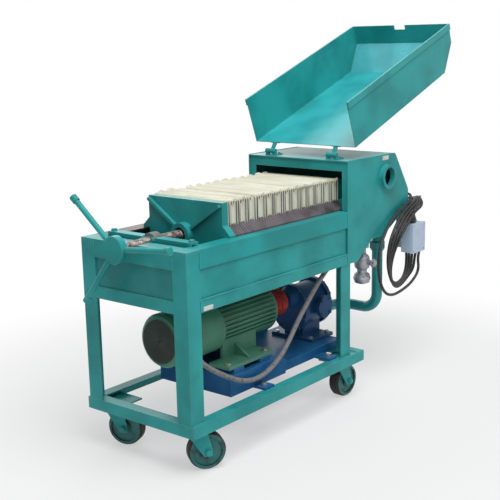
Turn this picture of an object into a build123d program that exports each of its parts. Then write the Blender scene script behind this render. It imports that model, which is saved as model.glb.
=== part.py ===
"""Plate filter press on a four-caster cart, built in millimetres with +Z up.

X runs along the machine from the handwheel end to the head, Y across it, Z up from the floor.
All pieces are drawn with X = 0 at the front face of the trough and moved to the centre on export.
"""
import math
import os

from build123d import *

# cart frame and trough
TROUGH_W = 490.0
TROUGH_TOP = 770.0
TROUGH_BOTTOM = 562.0
HEAD_FRONT = 917.0
LEG = 63.0
LEG_T = 6.0
REAR_LEG_X = 941.0
BASE_LENGTH = 1022.0
BASE_LIP = 10.0
BASE_W = TROUGH_W + 2 * BASE_LIP
BASE_TOP = 188.0
BASE_RAIL = 42.0
RAIL_T = 5.0
TOP_FLANGE = 63.0
LOW_RAIL = 42.0
PANEL_T = 3.0
SHEET = 4.0

# head box
HEAD_TOP = 965.0
HEAD_OUTLINE = [
    (HEAD_FRONT, HEAD_TOP),
    (1265.0, HEAD_TOP),
    (1374.0, 804.0),
    (1374.0, 736.0),
    (1180.0, 636.0),
    (1093.0, 636.0),
    (985.0, TROUGH_BOTTOM),
    (HEAD_FRONT, TROUGH_BOTTOM),
]
FRAME_POST = 32.0
OPENING_HALF = TROUGH_W / 2 - FRAME_POST
OPENING_TOP = 924.0
FRAME_SET_BACK = 6.0
FRAME_T = 5.0
PORT_X = 1198.0
PORT_Z = 876.0
PORT_BORE_R = 38.0
PORT_R = 51.0
PORT_LENGTH = 18.0

# filter pack, press plate and screw
AXIS_Z = 765.0
PLATE_CLEAR = 12.0
PLATE_HALF = TROUGH_W / 2 - TOP_FLANGE - PLATE_CLEAR
PLATE_TOP = 884.0
PLATE_BOTTOM = 650.0
PAPER_LIP = 3.0
EAR_SEAT = 23.0
EAR_REACH = TROUGH_W / 2 - TOP_FLANGE + EAR_SEAT
EAR_TIP = 7.0
EAR_RISE = 38.0
PAIRS = 26
PAPER_T = 2.2
PRESS_FACE = 261.0
PRESS_T = 30.0
CLAMP_GAP = 0.3
PACK_END = 955.0
FIXED_T = 28.0
RIB_W = 10.0
RIB_H = 14.0
BOSS_R = 42.0
BOSS_BORE_R = 27.0
BOSS_LENGTH = 31.0
SCREW_R = 18.0
SCREW_COLLAR_R = 23.0
THRUST_GAP = 0.3
NUT_GAP = 0.3
NUT_R = 31.0
NUT_LENGTH = 36.0
CROSSBAR_X = 78.0
CROSSBAR_SEAT = 11.0
CROSSBAR_HALF = TROUGH_W / 2 - TOP_FLANGE + CROSSBAR_SEAT
CROSSBAR_TOP = 783.0
CROSSBAR_DEPTH = 68.0
CROSSBAR_FLANGE = 38.0
CROSSBAR_T = 6.0
NOTCH_HALF = 25.0
NOTCH_CLEAR = 7.0
NUT_RELIEF = 3.0
TRAVEL = 100.0

# handwheel
HUB_FRONT = -84.0
HUB_T = 28.0
HUB_R = 47.0
SPOKE_R = 10.0
SPOKE_REACH = 248.0
KNOB_R = 13.0
KNOB_LENGTH = 22.0
SPOKE_ANGLES = [5.6, 140.6, 231.6]

# lid, drawn closed and turned open about the hinge pin
LID_ANGLE = 159.7
HINGE_X = 946.0
HINGE_Z = HEAD_TOP + 18.0
HINGE_Y = 150.0
HINGE_W = 54.0
PIN_R = 5.0
KNUCKLE_R = 9.0
KNUCKLE_GAP = 0.3
STRAP_W = 18.0
STRAP_LENGTH = 70.0
BRACKET_LEAF = 4.0
LID_REAR = 912.0
LID_BEND = 161.0
LID_FRONT = 67.0
LID_T = 2.5
LID_TOP = 963.0
LID_RIM_Z = 776.0
LID_NOSE_Z = 861.0
LID_NOTCH_HALF = 27.0
LID_NOTCH_H = 20.0
LID_BEAD = 26.0
LID_BEAD_OUT = 5.0

# drive under the trough
SHAFT_Z = 408.0
COWL_X = 113.0
COWL_END = 353.0
HOUSING_END = 652.0
SHIELD_END = 680.0
MOTOR_R = 88.0
COWL_R = 97.0
FIN_H = 9.0
FIN_T = 3.0
FIN_COUNT = 36
BARE_ARC = (210, 330)
FOOT_X = 296.0
FOOT_END = 550.0
FOOT_Z = 282.0
FOOT_T = 12.0
FOOT_HALF = 158.0
FOOT_INNER = 62.0
GUSSET_X = 424.0
GUSSET_H = 46.0
TERMINAL_L = 90.0
TERMINAL_HALF = 44.0
TERMINAL_H = 50.0
SHAFT_R = 14.0
SHAFT_GAP = 0.3
COUPLING_X = 690.0
COUPLING_END = 800.0
COUPLING_R = 55.0
COUPLING_HUB_R = 34.0
DRIVE_HALF = 172.0
DRIVE_X = 285.0
DRIVE_TOP = 264.0
DRIVE_CLEAR = 2.0
DRIVE_STEP_X = 570.0
DRIVE_LOW_X = 640.0
DRIVE_LOW_Z = 226.0
DRIVE_END = 1000.0
DRIVE_T = 8.0
DRIVE_REAR_HALF = 156.0
DRIVE_NECK_X = 605.0
LUG_X = [440.0, 846.0]
LUG_W = 54.0
LUG_INSET = 30.0
LUG_T = 10.0
PAD_X = [(318.0, 372.0), (468.0, 528.0)]
PUMP_X = 846.0
PUMP_END = 1044.0
PUMP_W = 150.0
PUMP_H = 176.0
PUMP_DROP = 48.0
PUMP_RIM = 22.0
PUMP_PORT_X = 965.0
PUMP_COVER_T = 22.0
PUMP_REAR_T = 20.0
SUCTION_R = 19.0

# oil pipes and valve
PIPE_R = 22.5
PIPE_BEND = 68.0
PIPE_X = 1226.0
PIPE_INSET = 57.0
PIPE_Y = PIPE_INSET - TROUGH_W / 2
FLANGE_R = 50.0
FLANGE_T = 24.0
PIPE_Z = 305.0
VALVE_X = 1112.0
VALVE_INSET = 59.0
VALVE_Y = VALVE_INSET - TROUGH_W / 2

# casters
CASTER_X = [86.0, 936.0]
CASTER_INSET = 65.0
CASTER_Y = BASE_W / 2 - CASTER_INSET
CASTER_PAD = 118.0
PAD_EDGE = 8.0
WHEEL_R = 66.0
WHEEL_W = 46.0
CASTER_TRAIL = 28.0
FORK_T = 4.0
SWIVEL_R = 32.0
FORK_SIDE_GAP = 6.0
MOUNT_Z = 158.0
MOUNT_T = 6.0
AXLE_R = 8.0
AXLE_GAP = 0.3
CASTER_TURN = {"front_near": -34.0, "front_far": -70.0, "rear_near": -2.0, "rear_far": -20.0}

# switch box, cable and conduit
BOX_X = 1350.0
BOX_L = 100.0
BOX_OUT = 43.0
BOX_NEAR = -TROUGH_W / 2 - BOX_OUT
BOX_W = 58.0
BOX_Z = 534.0
BOX_H = 122.0
BRACKET_T = 4.0
BRACKET_W = 40.0
BRACKET_TOP = 798.0
HOOK_INSET = 6.0
HOOK_Y = HOOK_INSET - TROUGH_W / 2
HOOK_Z = 744.0
HOOK_R = 4.0
HOOK_LENGTH = 122.0
CABLE_R = 6.0
COIL_R = 15.0
PLUG_X = 1402.0
PLUG_Y = -204.0
CONDUIT_R = 9.5
CONDUIT_Y = -190.0
FITTING_R = 14.0
FITTING_LENGTH = 20.0
FITTING_INSET = 23.0


def box(x0, x1, y0, y1, z0, z1):
    """Block between six limits."""
    return Pos((x0 + x1) / 2, (y0 + y1) / 2, (z0 + z1) / 2) * Box(x1 - x0, y1 - y0, z1 - z0)


def xz_prism(points, y0, y1):
    """Outline drawn in X and Z, extruded across the machine from y0 to y1."""
    face = make_face(Polyline(*[(x, y0, z) for x, z in points], close=True))
    return extrude(face, amount=y1 - y0, dir=(0, 1, 0))


def yz_prism(points, x0, x1):
    """Outline drawn in Y and Z, extruded along the machine from x0 to x1."""
    face = make_face(Polyline(*[(x0, y, z) for y, z in points], close=True))
    return extrude(face, amount=x1 - x0, dir=(1, 0, 0))


def x_rod(x0, x1, y, z, radius):
    """Round bar along X."""
    return Pos((x0 + x1) / 2, y, z) * Rot(0, 90, 0) * Cylinder(radius, x1 - x0)


def y_rod(y0, y1, x, z, radius):
    """Round bar along Y."""
    return Pos(x, (y0 + y1) / 2, z) * Rot(90, 0, 0) * Cylinder(radius, y1 - y0)


def z_rod(z0, z1, x, y, radius):
    """Round bar along Z."""
    return Pos(x, y, (z0 + z1) / 2) * Cylinder(radius, z1 - z0)


def x_turned(profile, y=0.0, z=0.0):
    """Outline of (x, radius) pairs turned about a line along X."""
    points = [(x, 0, r) for x, r in profile]
    face = make_face(Polyline(*points, close=True))
    return Pos(0, y, z) * revolve(face, Axis.X)


def z_turned(profile, x=0.0, y=0.0):
    """Outline of (radius, z) pairs turned about a line along Z."""
    face = make_face(Polyline(*[(r, 0, z) for r, z in profile], close=True))
    return Pos(x, y, 0) * revolve(face, Axis.Z)


def mirrored(shape):
    """The shape and its mirror image on the far side."""
    return [shape, mirror(shape, about=Plane.XZ)]


def group(shapes):
    """Several loose solids kept in one node."""
    solids = []
    for shape in shapes:
        solids += shape.solids()
    return Compound(children=solids)


def tube(points, radii, radius):
    """Round tube along straight runs joined by tangent arcs."""
    path = FilletPolyline(*points, radius=radii)
    start = Plane(origin=path @ 0, z_dir=path % 0)
    return sweep(start * Circle(radius), path=path)


def bend_radii(points, share=0.45):
    """Largest bend at each inner point that keeps to its share of the shorter run beside it."""
    radii = []
    for a, b, c in zip(points, points[1:], points[2:]):
        before = Vector(*b) - Vector(*a)
        after = Vector(*c) - Vector(*b)
        turn = math.radians(before.get_angle(after))
        radii.append(share * min(before.length, after.length) / math.tan(turn / 2))
    return radii


def base_side_rails():
    half = BASE_W / 2
    low = BASE_TOP - BASE_RAIL
    section = [
        (-half, low), (-half + RAIL_T, low), (-half + RAIL_T, BASE_TOP - RAIL_T),
        (-half + BASE_RAIL, BASE_TOP - RAIL_T), (-half + BASE_RAIL, BASE_TOP), (-half, BASE_TOP),
    ]
    return group(mirrored(yz_prism(section, 0, BASE_LENGTH)))


def base_end_rails():
    half = BASE_W / 2 - RAIL_T
    inner = BASE_W / 2 - BASE_RAIL
    low = BASE_TOP - BASE_RAIL
    rails = []
    for x0, step in ((0.0, 1), (BASE_LENGTH, -1)):
        web = sorted((x0, x0 + step * RAIL_T))
        flange = sorted((x0 + step * RAIL_T, x0 + step * BASE_RAIL))
        rail = box(*web, -half, half, low, BASE_TOP - RAIL_T)
        rail += box(*web, -inner, inner, BASE_TOP - RAIL_T, BASE_TOP)
        rail += box(*flange, -inner, inner, BASE_TOP - RAIL_T, BASE_TOP)
        rails.append(rail)
    return group(rails)


def caster_positions():
    places = {}
    for end, x in zip(("front", "rear"), CASTER_X):
        for side, y in (("near", -CASTER_Y), ("far", CASTER_Y)):
            places[end + "_" + side] = (x, y)
    return places


def caster_mounts():
    half = BASE_W / 2 - RAIL_T
    top = BASE_TOP - RAIL_T
    pads = []
    for x, y in caster_positions().values():
        side = -1 if y < 0 else 1
        ends = (x - CASTER_PAD / 2, x + CASTER_PAD / 2)
        across = sorted((side * half, side * (half - CASTER_PAD)))
        edge = sorted((side * half, side * (half - PAD_EDGE)))
        pad = box(*ends, *across, MOUNT_Z, MOUNT_Z + MOUNT_T)
        pads.append(pad + box(*ends, *edge, MOUNT_Z + MOUNT_T, top))
    return group(pads)


def legs():
    half = TROUGH_W / 2
    front = box(0, LEG, -half, -half + LEG_T, BASE_TOP, TROUGH_TOP - RAIL_T)
    front += box(0, LEG_T, -half, -half + LEG, BASE_TOP, TROUGH_TOP - RAIL_T)
    inset = half - SHEET
    rear = box(REAR_LEG_X - LEG, REAR_LEG_X, -inset, -inset + LEG_T, BASE_TOP, TROUGH_BOTTOM)
    rear += box(REAR_LEG_X - LEG_T, REAR_LEG_X, -inset, -inset + LEG, BASE_TOP, TROUGH_BOTTOM)
    return group(mirrored(front) + mirrored(rear))


def trough_side_top_rails():
    half = TROUGH_W / 2
    low = TROUGH_TOP - TOP_FLANGE
    rail = box(LEG, HEAD_FRONT, -half, -half + TOP_FLANGE, TROUGH_TOP - RAIL_T, TROUGH_TOP)
    rail += box(LEG, HEAD_FRONT, -half, -half + RAIL_T, low, TROUGH_TOP)
    return group(mirrored(rail))


def trough_front_top_rail():
    half = TROUGH_W / 2
    low = TROUGH_TOP - TOP_FLANGE
    rail = box(0, TOP_FLANGE, -half, half, TROUGH_TOP - RAIL_T, TROUGH_TOP)
    rail += box(0, RAIL_T, -half + LEG, half - LEG, low, TROUGH_TOP)
    rail -= box(-1, TOP_FLANGE + 1, -NOTCH_HALF, NOTCH_HALF, AXIS_Z - SCREW_R - NOTCH_CLEAR, TROUGH_TOP + 1)
    return rail


def trough_side_panels():
    skin = -TROUGH_W / 2 + LEG_T
    panel = box(LEG_T, HEAD_FRONT, skin, skin + PANEL_T, TROUGH_BOTTOM + LOW_RAIL, TROUGH_TOP - RAIL_T)
    return group(mirrored(panel))


def trough_front_panel():
    half = TROUGH_W / 2 - LEG_T - PANEL_T
    panel = box(LEG_T, LEG_T + PANEL_T, -half, half, TROUGH_BOTTOM + LOW_RAIL, TROUGH_TOP - RAIL_T)
    panel -= box(0, 20, -NOTCH_HALF, NOTCH_HALF, AXIS_Z - SCREW_R - NOTCH_CLEAR, TROUGH_TOP)
    return panel


def trough_side_low_rails():
    half = TROUGH_W / 2
    top = TROUGH_BOTTOM + LOW_RAIL
    rail = box(LEG, HEAD_FRONT, -half, -half + LEG_T, TROUGH_BOTTOM, top)
    rail += box(LEG, HEAD_FRONT, -half, -half + LOW_RAIL, top - RAIL_T, top)
    return group(mirrored(rail))


def trough_end_low_rails():
    half = TROUGH_W / 2
    top = TROUGH_BOTTOM + LOW_RAIL
    inner = half - LOW_RAIL
    front = box(0, LEG_T, -half + LEG, half - LEG, TROUGH_BOTTOM, top)
    front += box(0, LOW_RAIL, -inner + LEG - LOW_RAIL, inner - LEG + LOW_RAIL, top - RAIL_T, top)
    rear = box(HEAD_FRONT - LEG_T, HEAD_FRONT, -half + LEG_T, half - LEG_T, TROUGH_BOTTOM, top - RAIL_T)
    rear += box(HEAD_FRONT - LEG_T, HEAD_FRONT, -inner, inner, top - RAIL_T, top)
    rear += box(HEAD_FRONT - LOW_RAIL, HEAD_FRONT, -inner, inner, top - RAIL_T, top)
    return group([front, rear])


def trough_floor():
    half = TROUGH_W / 2 - LEG_T - PANEL_T
    top = TROUGH_BOTTOM + LOW_RAIL
    return box(LEG_T + PANEL_T, HEAD_FRONT + FRAME_SET_BACK, -half, half, top, top + PANEL_T)


def nut_crossbar():
    x0, web = CROSSBAR_X, CROSSBAR_X + CROSSBAR_T
    inner = TROUGH_W / 2 - TOP_FLANGE
    relief = NUT_R + NUT_RELIEF
    bar = box(x0, web, -CROSSBAR_HALF, CROSSBAR_HALF, TROUGH_TOP, CROSSBAR_TOP)
    bar += box(x0, web, -inner, inner, CROSSBAR_TOP - CROSSBAR_DEPTH, TROUGH_TOP)
    shelf = CROSSBAR_TOP - CROSSBAR_T
    bar += box(x0, x0 + CROSSBAR_FLANGE, -CROSSBAR_HALF, CROSSBAR_HALF, shelf, CROSSBAR_TOP)
    bar -= box(web, web + CROSSBAR_FLANGE, -relief, relief, shelf - 1, CROSSBAR_TOP + 1)
    return bar - x_rod(x0 - 1, web + 1, 0, AXIS_Z, SCREW_R + 2)


def screw_nut():
    x0 = CROSSBAR_X + CROSSBAR_T
    nut = x_rod(x0, x0 + NUT_LENGTH, 0, AXIS_Z, NUT_R)
    return nut - x_rod(x0 - 1, x0 + NUT_LENGTH + 1, 0, AXIS_Z, SCREW_R + NUT_GAP)


def head_side_panels():
    half = TROUGH_W / 2
    panel = xz_prism(HEAD_OUTLINE, -half, -half + SHEET)
    far = mirror(panel, about=Plane.XZ)
    near = panel - y_rod(-half - 1, -half + SHEET + 1, PORT_X, PORT_Z, PORT_BORE_R)
    return group([near, far])


def inner_outline():
    """The head outline moved inward by one sheet, with mitred corners."""
    lines = []
    for (x0, z0), (x1, z1) in zip(HEAD_OUTLINE, HEAD_OUTLINE[1:]):
        length = math.hypot(x1 - x0, z1 - z0)
        shift = ((z1 - z0) / length * SHEET, -(x1 - x0) / length * SHEET)
        lines.append(((x0 + shift[0], z0 + shift[1]), (x1 - x0, z1 - z0)))
    points = [(HEAD_FRONT, HEAD_TOP - SHEET)]
    for (p, d), (q, e) in zip(lines, lines[1:]):
        cross = d[0] * e[1] - d[1] * e[0]
        t = ((q[0] - p[0]) * e[1] - (q[1] - p[1]) * e[0]) / cross
        points.append((p[0] + t * d[0], p[1] + t * d[1]))
    return points


def head_wrap(first, last):
    """The folded sheet between two corners of the head outline."""
    half = TROUGH_W / 2 - SHEET
    inner = inner_outline()
    outline = HEAD_OUTLINE[first:last + 1] + inner[first:last + 1][::-1]
    return xz_prism(outline, -half, half)


def head_front_frame():
    half = TROUGH_W / 2 - SHEET
    x0 = HEAD_FRONT + FRAME_SET_BACK
    low = TROUGH_BOTTOM + LOW_RAIL
    frame = box(x0, x0 + FRAME_T, -half, half, low, HEAD_TOP - SHEET)
    return frame - box(x0 - 1, x0 + FRAME_T + 1, -OPENING_HALF, OPENING_HALF, low - 1, OPENING_TOP)


def oil_port():
    half = TROUGH_W / 2
    collar = y_rod(-half - PORT_LENGTH, -half, PORT_X, PORT_Z, PORT_R)
    return collar - y_rod(-half - PORT_LENGTH - 1, -half + 1, PORT_X, PORT_Z, PORT_BORE_R)


def plate_outline(lip=0.0):
    """Half-height ears that rest on the top rails, body above and below them."""
    side = PLATE_HALF + lip
    right = [
        (side, PLATE_TOP + lip), (side, TROUGH_TOP + EAR_RISE), (EAR_REACH, TROUGH_TOP + EAR_TIP),
        (EAR_REACH, TROUGH_TOP), (side, TROUGH_TOP), (side, PLATE_BOTTOM),
    ]
    return right + [(-y, z) for y, z in right[::-1]]


def pack_slots():
    """Start of every plate, frame and paper along the pack."""
    start = PRESS_FACE + PRESS_T + CLAMP_GAP
    pitch = (PACK_END - start - PAPER_T) / PAIRS
    thick = pitch / 2 - PAPER_T
    slots = [(start + i * pitch / 2, thick) for i in range(2 * PAIRS)]
    return slots, start + 2 * PAIRS * pitch / 2


def filter_plates():
    slots, _ = pack_slots()
    return group([yz_prism(plate_outline(), x + PAPER_T, x + PAPER_T + t) for x, t in slots[0::2]])


def filter_frames():
    slots, _ = pack_slots()
    return group([yz_prism(plate_outline(), x + PAPER_T, x + PAPER_T + t) for x, t in slots[1::2]])


def filter_papers():
    slots, last = pack_slots()
    side = PLATE_HALF + PAPER_LIP
    starts = [x for x, _ in slots] + [last]
    top = PLATE_TOP + PAPER_LIP
    return group([box(x, x + PAPER_T, -side, side, PLATE_BOTTOM, top) for x in starts])


def press_plate():
    side = PLATE_HALF + PAPER_LIP
    plate = yz_prism(plate_outline(PAPER_LIP), PRESS_FACE, PRESS_FACE + PRESS_T)
    plate = plate.moved(Pos(0, 0, THRUST_GAP))
    for y, z in ((side - 6, PLATE_TOP - 6), (side - 6, PLATE_BOTTOM + 14)):
        dy, dz = y, z - AXIS_Z
        length = math.hypot(dy, dz)
        oy, oz = -dz / length * RIB_W / 2, dy / length * RIB_W / 2
        rib = [(oy, AXIS_Z + oz), (y + oy, z + oz), (y - oy, z - oz), (-oy, AXIS_Z - oz)]
        strip = yz_prism(rib, PRESS_FACE - RIB_H, PRESS_FACE)
        plate += strip
        plate += mirror(strip, about=Plane.XZ)
    plate += x_rod(PRESS_FACE - BOSS_LENGTH, PRESS_FACE, 0, AXIS_Z, BOSS_R)
    return plate - x_rod(PRESS_FACE - BOSS_LENGTH - 1, PRESS_FACE - 2, 0, AXIS_Z, BOSS_BORE_R)


def fixed_plate():
    wall = TROUGH_W / 2 - SHEET
    side = PLATE_HALF + PAPER_LIP
    plate = box(PACK_END, PACK_END + FIXED_T, -side, side, PLATE_BOTTOM, PLATE_TOP + PAPER_LIP)
    plate += box(PACK_END, PACK_END + FIXED_T, -wall, wall, TROUGH_TOP - 60, TROUGH_TOP + EAR_RISE)
    return plate


def press_screw():
    end = PRESS_FACE - 2 - THRUST_GAP
    profile = [
        (HUB_FRONT + HUB_T, 0), (HUB_FRONT + HUB_T, SCREW_R), (end - 24, SCREW_R),
        (end - 24, SCREW_COLLAR_R), (end, SCREW_COLLAR_R), (end, 0),
    ]
    return x_turned(profile, 0, AXIS_Z)


def handwheel_hub():
    back = HUB_FRONT + HUB_T
    profile = [
        (HUB_FRONT, 0), (HUB_FRONT, HUB_R - 3), (HUB_FRONT + 3, HUB_R),
        (back - 3, HUB_R), (back, HUB_R - 3), (back, 0),
    ]
    hub = x_turned(profile, 0, AXIS_Z)
    for angle in SPOKE_ANGLES:
        hub -= spoke_bar(angle, HUB_R - 22, HUB_R + 10, SPOKE_R)
    return hub


def spoke_bar(angle, r0, r1, radius):
    bar = Pos(0, 0, (r0 + r1) / 2) * Cylinder(radius, r1 - r0)
    return Pos(HUB_FRONT + HUB_T / 2, 0, AXIS_Z) * Rot(90 - angle, 0, 0) * bar


def handwheel_spokes():
    spokes = []
    for angle in SPOKE_ANGLES:
        bar = spoke_bar(angle, HUB_R - 22, SPOKE_REACH, SPOKE_R)
        bar += spoke_bar(angle, SPOKE_REACH - KNOB_LENGTH, SPOKE_REACH, KNOB_R)
        spokes.append(bar)
    return group(spokes)


def opened(shape):
    """A lid piece drawn closed, turned about the hinge pin to its open rest."""
    back = Pos(-HINGE_X, 0, -HINGE_Z)
    return (Pos(HINGE_X, 0, HINGE_Z) * Rot(0, LID_ANGLE, 0) * back) * shape


def lid_top_panel():
    half = TROUGH_W / 2 - LID_T
    return opened(box(LID_BEND, LID_REAR, -half, half, LID_TOP - LID_T, LID_TOP))


def slope_drop():
    """Upright thickness of the sloping lid sheet."""
    run, rise = LID_BEND - LID_FRONT, LID_TOP - LID_NOSE_Z
    return LID_T * math.hypot(run, rise) / run


def lid_slope_panel():
    half = TROUGH_W / 2 - LID_T
    return opened(xz_prism([
        (LID_FRONT, LID_NOSE_Z), (LID_BEND, LID_TOP),
        (LID_BEND, LID_TOP - LID_T), (LID_FRONT, LID_NOSE_Z - slope_drop()),
    ], -half, half))


def lid_side_walls():
    half = TROUGH_W / 2
    outline = [
        (LID_REAR, LID_TOP), (LID_BEND, LID_TOP), (LID_FRONT, LID_NOSE_Z),
        (LID_FRONT, LID_RIM_Z), (LID_REAR, LID_RIM_Z),
    ]
    wall = xz_prism(outline, -half, -half + LID_T)
    wall += box(LID_FRONT, LID_REAR, -half - LID_BEAD_OUT, -half, LID_RIM_Z, LID_RIM_Z + LID_BEAD)
    return opened(group(mirrored(wall)))


def lid_end_wall():
    half = TROUGH_W / 2 - LID_T
    ends = (LID_FRONT, LID_FRONT + LID_T)
    wall = box(*ends, -half, half, LID_RIM_Z, LID_NOSE_Z - slope_drop())
    notch = (-LID_NOTCH_HALF, LID_NOTCH_HALF, LID_RIM_Z - 1, LID_RIM_Z + LID_NOTCH_H)
    return opened(wall - box(LID_FRONT - 1, LID_FRONT + LID_T + 1, *notch))


def hinge_brackets():
    brackets = []
    leaf = HEAD_TOP + BRACKET_LEAF
    for y in (-HINGE_Y, HINGE_Y):
        plate = box(HINGE_X - 4, HINGE_X + 44, y - HINGE_W / 2, y + HINGE_W / 2, HEAD_TOP, leaf)
        for side in (-1, 1):
            inner, outer = sorted((y + side * 10, y + side * 24))
            plate += box(HINGE_X - 4, HINGE_X + 8, inner, outer, leaf, HINGE_Z)
            plate += y_rod(inner, outer, HINGE_X, HINGE_Z, KNUCKLE_R)
        plate += y_rod(y - 24, y + 24, HINGE_X, HINGE_Z, PIN_R)
        brackets.append(plate)
    return group(brackets)


def lid_hinge_straps():
    straps = []
    half = STRAP_W / 2
    end = LID_REAR - STRAP_LENGTH
    for y in (-HINGE_Y, HINGE_Y):
        strap = y_rod(y - half, y + half, HINGE_X, HINGE_Z, KNUCKLE_R)
        strap += xz_prism([
            (HINGE_X, HINGE_Z + KNUCKLE_R), (LID_REAR - 4, LID_TOP + 5), (end, LID_TOP + 5),
            (end, LID_TOP), (LID_REAR - 1, LID_TOP), (HINGE_X, HINGE_Z + PIN_R + 1),
        ], y - half, y + half)
        strap += box(end, LID_REAR - 4, y - 22, y + 22, LID_TOP, LID_TOP + BRACKET_LEAF)
        straps.append(strap - y_rod(y - 10, y + 10, HINGE_X, HINGE_Z, PIN_R + KNUCKLE_GAP))
    return opened(group(straps))


def motor_housing():
    bore = SHAFT_R + SHAFT_GAP
    core = x_turned([
        (COWL_END, 0), (COWL_END, MOTOR_R), (HOUSING_END, MOTOR_R), (HOUSING_END + 6, MOTOR_R + 4),
        (HOUSING_END + 12, MOTOR_R + 4), (SHIELD_END - 8, 60), (SHIELD_END, 48), (SHIELD_END, bore),
        (SHIELD_END - 10, bore), (SHIELD_END - 10, 0),
    ], 0, SHAFT_Z)
    return core + motor_foot() + mirror(motor_foot(), about=Plane.XZ)


def motor_fins():
    fins = []
    barrel = x_rod(COWL_END, HOUSING_END, 0, SHAFT_Z, MOTOR_R)
    for i in range(FIN_COUNT):
        angle = 360.0 * (i + 0.5) / FIN_COUNT
        if not BARE_ARC[0] < angle < BARE_ARC[1]:
            fin = box(COWL_END, HOUSING_END, -FIN_T / 2, FIN_T / 2, MOTOR_R - 4, MOTOR_R + FIN_H)
            fins.append(Pos(0, 0, SHAFT_Z) * Rot(90 - angle, 0, 0) * fin - barrel)
    return group(fins)


def motor_foot():
    """Long foot plate of the near side with its web and one gusset."""
    top = FOOT_Z + FOOT_T
    web = -FOOT_INNER - FOOT_T
    foot = box(FOOT_X, FOOT_END, -FOOT_HALF, -FOOT_INNER, FOOT_Z, top)
    foot += box(COWL_END + 6, FOOT_END, web, -FOOT_INNER, top, SHAFT_Z - 36)
    gusset = [(web, top), (web, top + GUSSET_H), (-FOOT_HALF + 14, top)]
    return foot + yz_prism(gusset, GUSSET_X, GUSSET_X + FOOT_T)


def motor_fan_cowl():
    return x_turned([
        (COWL_X, 0), (COWL_X, COWL_R - 18), (COWL_X + 5, COWL_R - 7), (COWL_X + 15, COWL_R),
        (COWL_END, COWL_R), (COWL_END, 0),
    ], 0, SHAFT_Z)


def motor_terminal_box():
    crown = MOTOR_R + FIN_H
    x0 = COWL_END + 14
    low = SHAFT_Z + crown
    half = TERMINAL_HALF
    block = box(x0, x0 + TERMINAL_L, -half, half, low - 16, low + TERMINAL_H)
    return block - x_rod(COWL_END, x0 + TERMINAL_L + 10, 0, SHAFT_Z, crown + SHAFT_GAP)


def drive_coupling():
    x0, rim, hub = COUPLING_X, COUPLING_R, COUPLING_HUB_R
    return x_turned([
        (SHIELD_END - 9, 0), (SHIELD_END - 9, SHAFT_R), (x0, SHAFT_R), (x0, hub),
        (x0 + 18, hub), (x0 + 18, rim), (x0 + 50, rim), (x0 + 50, rim - 5), (x0 + 56, rim - 5),
        (x0 + 56, rim), (x0 + 90, rim), (x0 + 90, hub), (COUPLING_END, hub), (COUPLING_END, SHAFT_R),
        (PUMP_X - 10, SHAFT_R), (PUMP_X - 10, 0),
    ], 0, SHAFT_Z)


def drive_base():
    low = BASE_TOP + DRIVE_CLEAR
    roof, shelf = DRIVE_TOP - DRIVE_T, DRIVE_LOW_Z - DRIVE_T
    x0, x1 = DRIVE_X + DRIVE_T, DRIVE_END - DRIVE_T
    outline = [
        (DRIVE_X, low), (DRIVE_END, low), (DRIVE_END, DRIVE_LOW_Z),
        (DRIVE_LOW_X, DRIVE_LOW_Z), (DRIVE_STEP_X, DRIVE_TOP), (DRIVE_X, DRIVE_TOP),
    ]
    hollow = [
        (x0, low - 1), (x1, low - 1), (x1, shelf),
        (DRIVE_LOW_X - 5, shelf), (DRIVE_STEP_X - 4, roof), (x0, roof),
    ]
    inner = DRIVE_REAR_HALF - DRIVE_T
    base = xz_prism(outline, -DRIVE_HALF, DRIVE_HALF) - xz_prism(hollow, -inner, inner)
    neck = box(DRIVE_NECK_X, DRIVE_END + 1, DRIVE_REAR_HALF, DRIVE_HALF + 1, low - 1, DRIVE_TOP)
    base -= neck
    base -= mirror(neck, about=Plane.XZ)
    rail = BASE_W / 2 - LUG_INSET
    blocks = [
        box(x - LUG_W / 2, x + LUG_W / 2, -rail, -inner, BASE_TOP, BASE_TOP + LUG_T) for x in LUG_X
    ]
    blocks += [box(*pad, -FOOT_HALF - 4, -FOOT_INNER, DRIVE_TOP, FOOT_Z) for pad in PAD_X]
    for block in blocks:
        base += block
        base += mirror(block, about=Plane.XZ)
    return base


def pump_slice(x, length, rim=0.0):
    """Slab of the oval pump casing, starting at x."""
    slot = extrude(SlotOverall(PUMP_H + rim, PUMP_W + rim), amount=length)
    return Pos(x, 0, SHAFT_Z - PUMP_DROP) * Rot(0, 90, 0) * slot


def pump_body():
    centre = SHAFT_Z - PUMP_DROP
    front = PUMP_X + 14
    rear = PUMP_END - 10 - PUMP_REAR_T
    body = pump_slice(front + PUMP_COVER_T, rear - front - PUMP_COVER_T)
    body += pump_slice(front, PUMP_COVER_T, PUMP_RIM)
    body += pump_slice(rear, PUMP_REAR_T, PUMP_RIM)
    body += x_turned([(PUMP_X - 20, 0), (PUMP_X - 20, 34), (front, 46), (front, 0)], 0, SHAFT_Z)
    for side in (-1, 1):
        body += y_rod(*sorted((side * 60, side * 104)), PUMP_PORT_X, centre, 34)
        body += y_rod(*sorted((side * 92, side * 108)), PUMP_PORT_X, centre, 46)
    body += box(PUMP_X + 30, PUMP_END - 26, -105, 105, DRIVE_LOW_Z, DRIVE_LOW_Z + 14)
    body += box(PUMP_X + 44, PUMP_END - 40, -48, 48, DRIVE_LOW_Z, centre - 40)
    body -= x_rod(PUMP_X - 21, PUMP_X - 9, 0, SHAFT_Z, SHAFT_R + SHAFT_GAP)
    return body - y_rod(50, 109, PUMP_PORT_X, centre, SUCTION_R)


def belly_z(x):
    """Height of the sloping underside of the head."""
    (x1, z1), (x0, z0) = HEAD_OUTLINE[3:5]
    return z0 + (x - x0) * (z1 - z0) / (x1 - x0)


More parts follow.
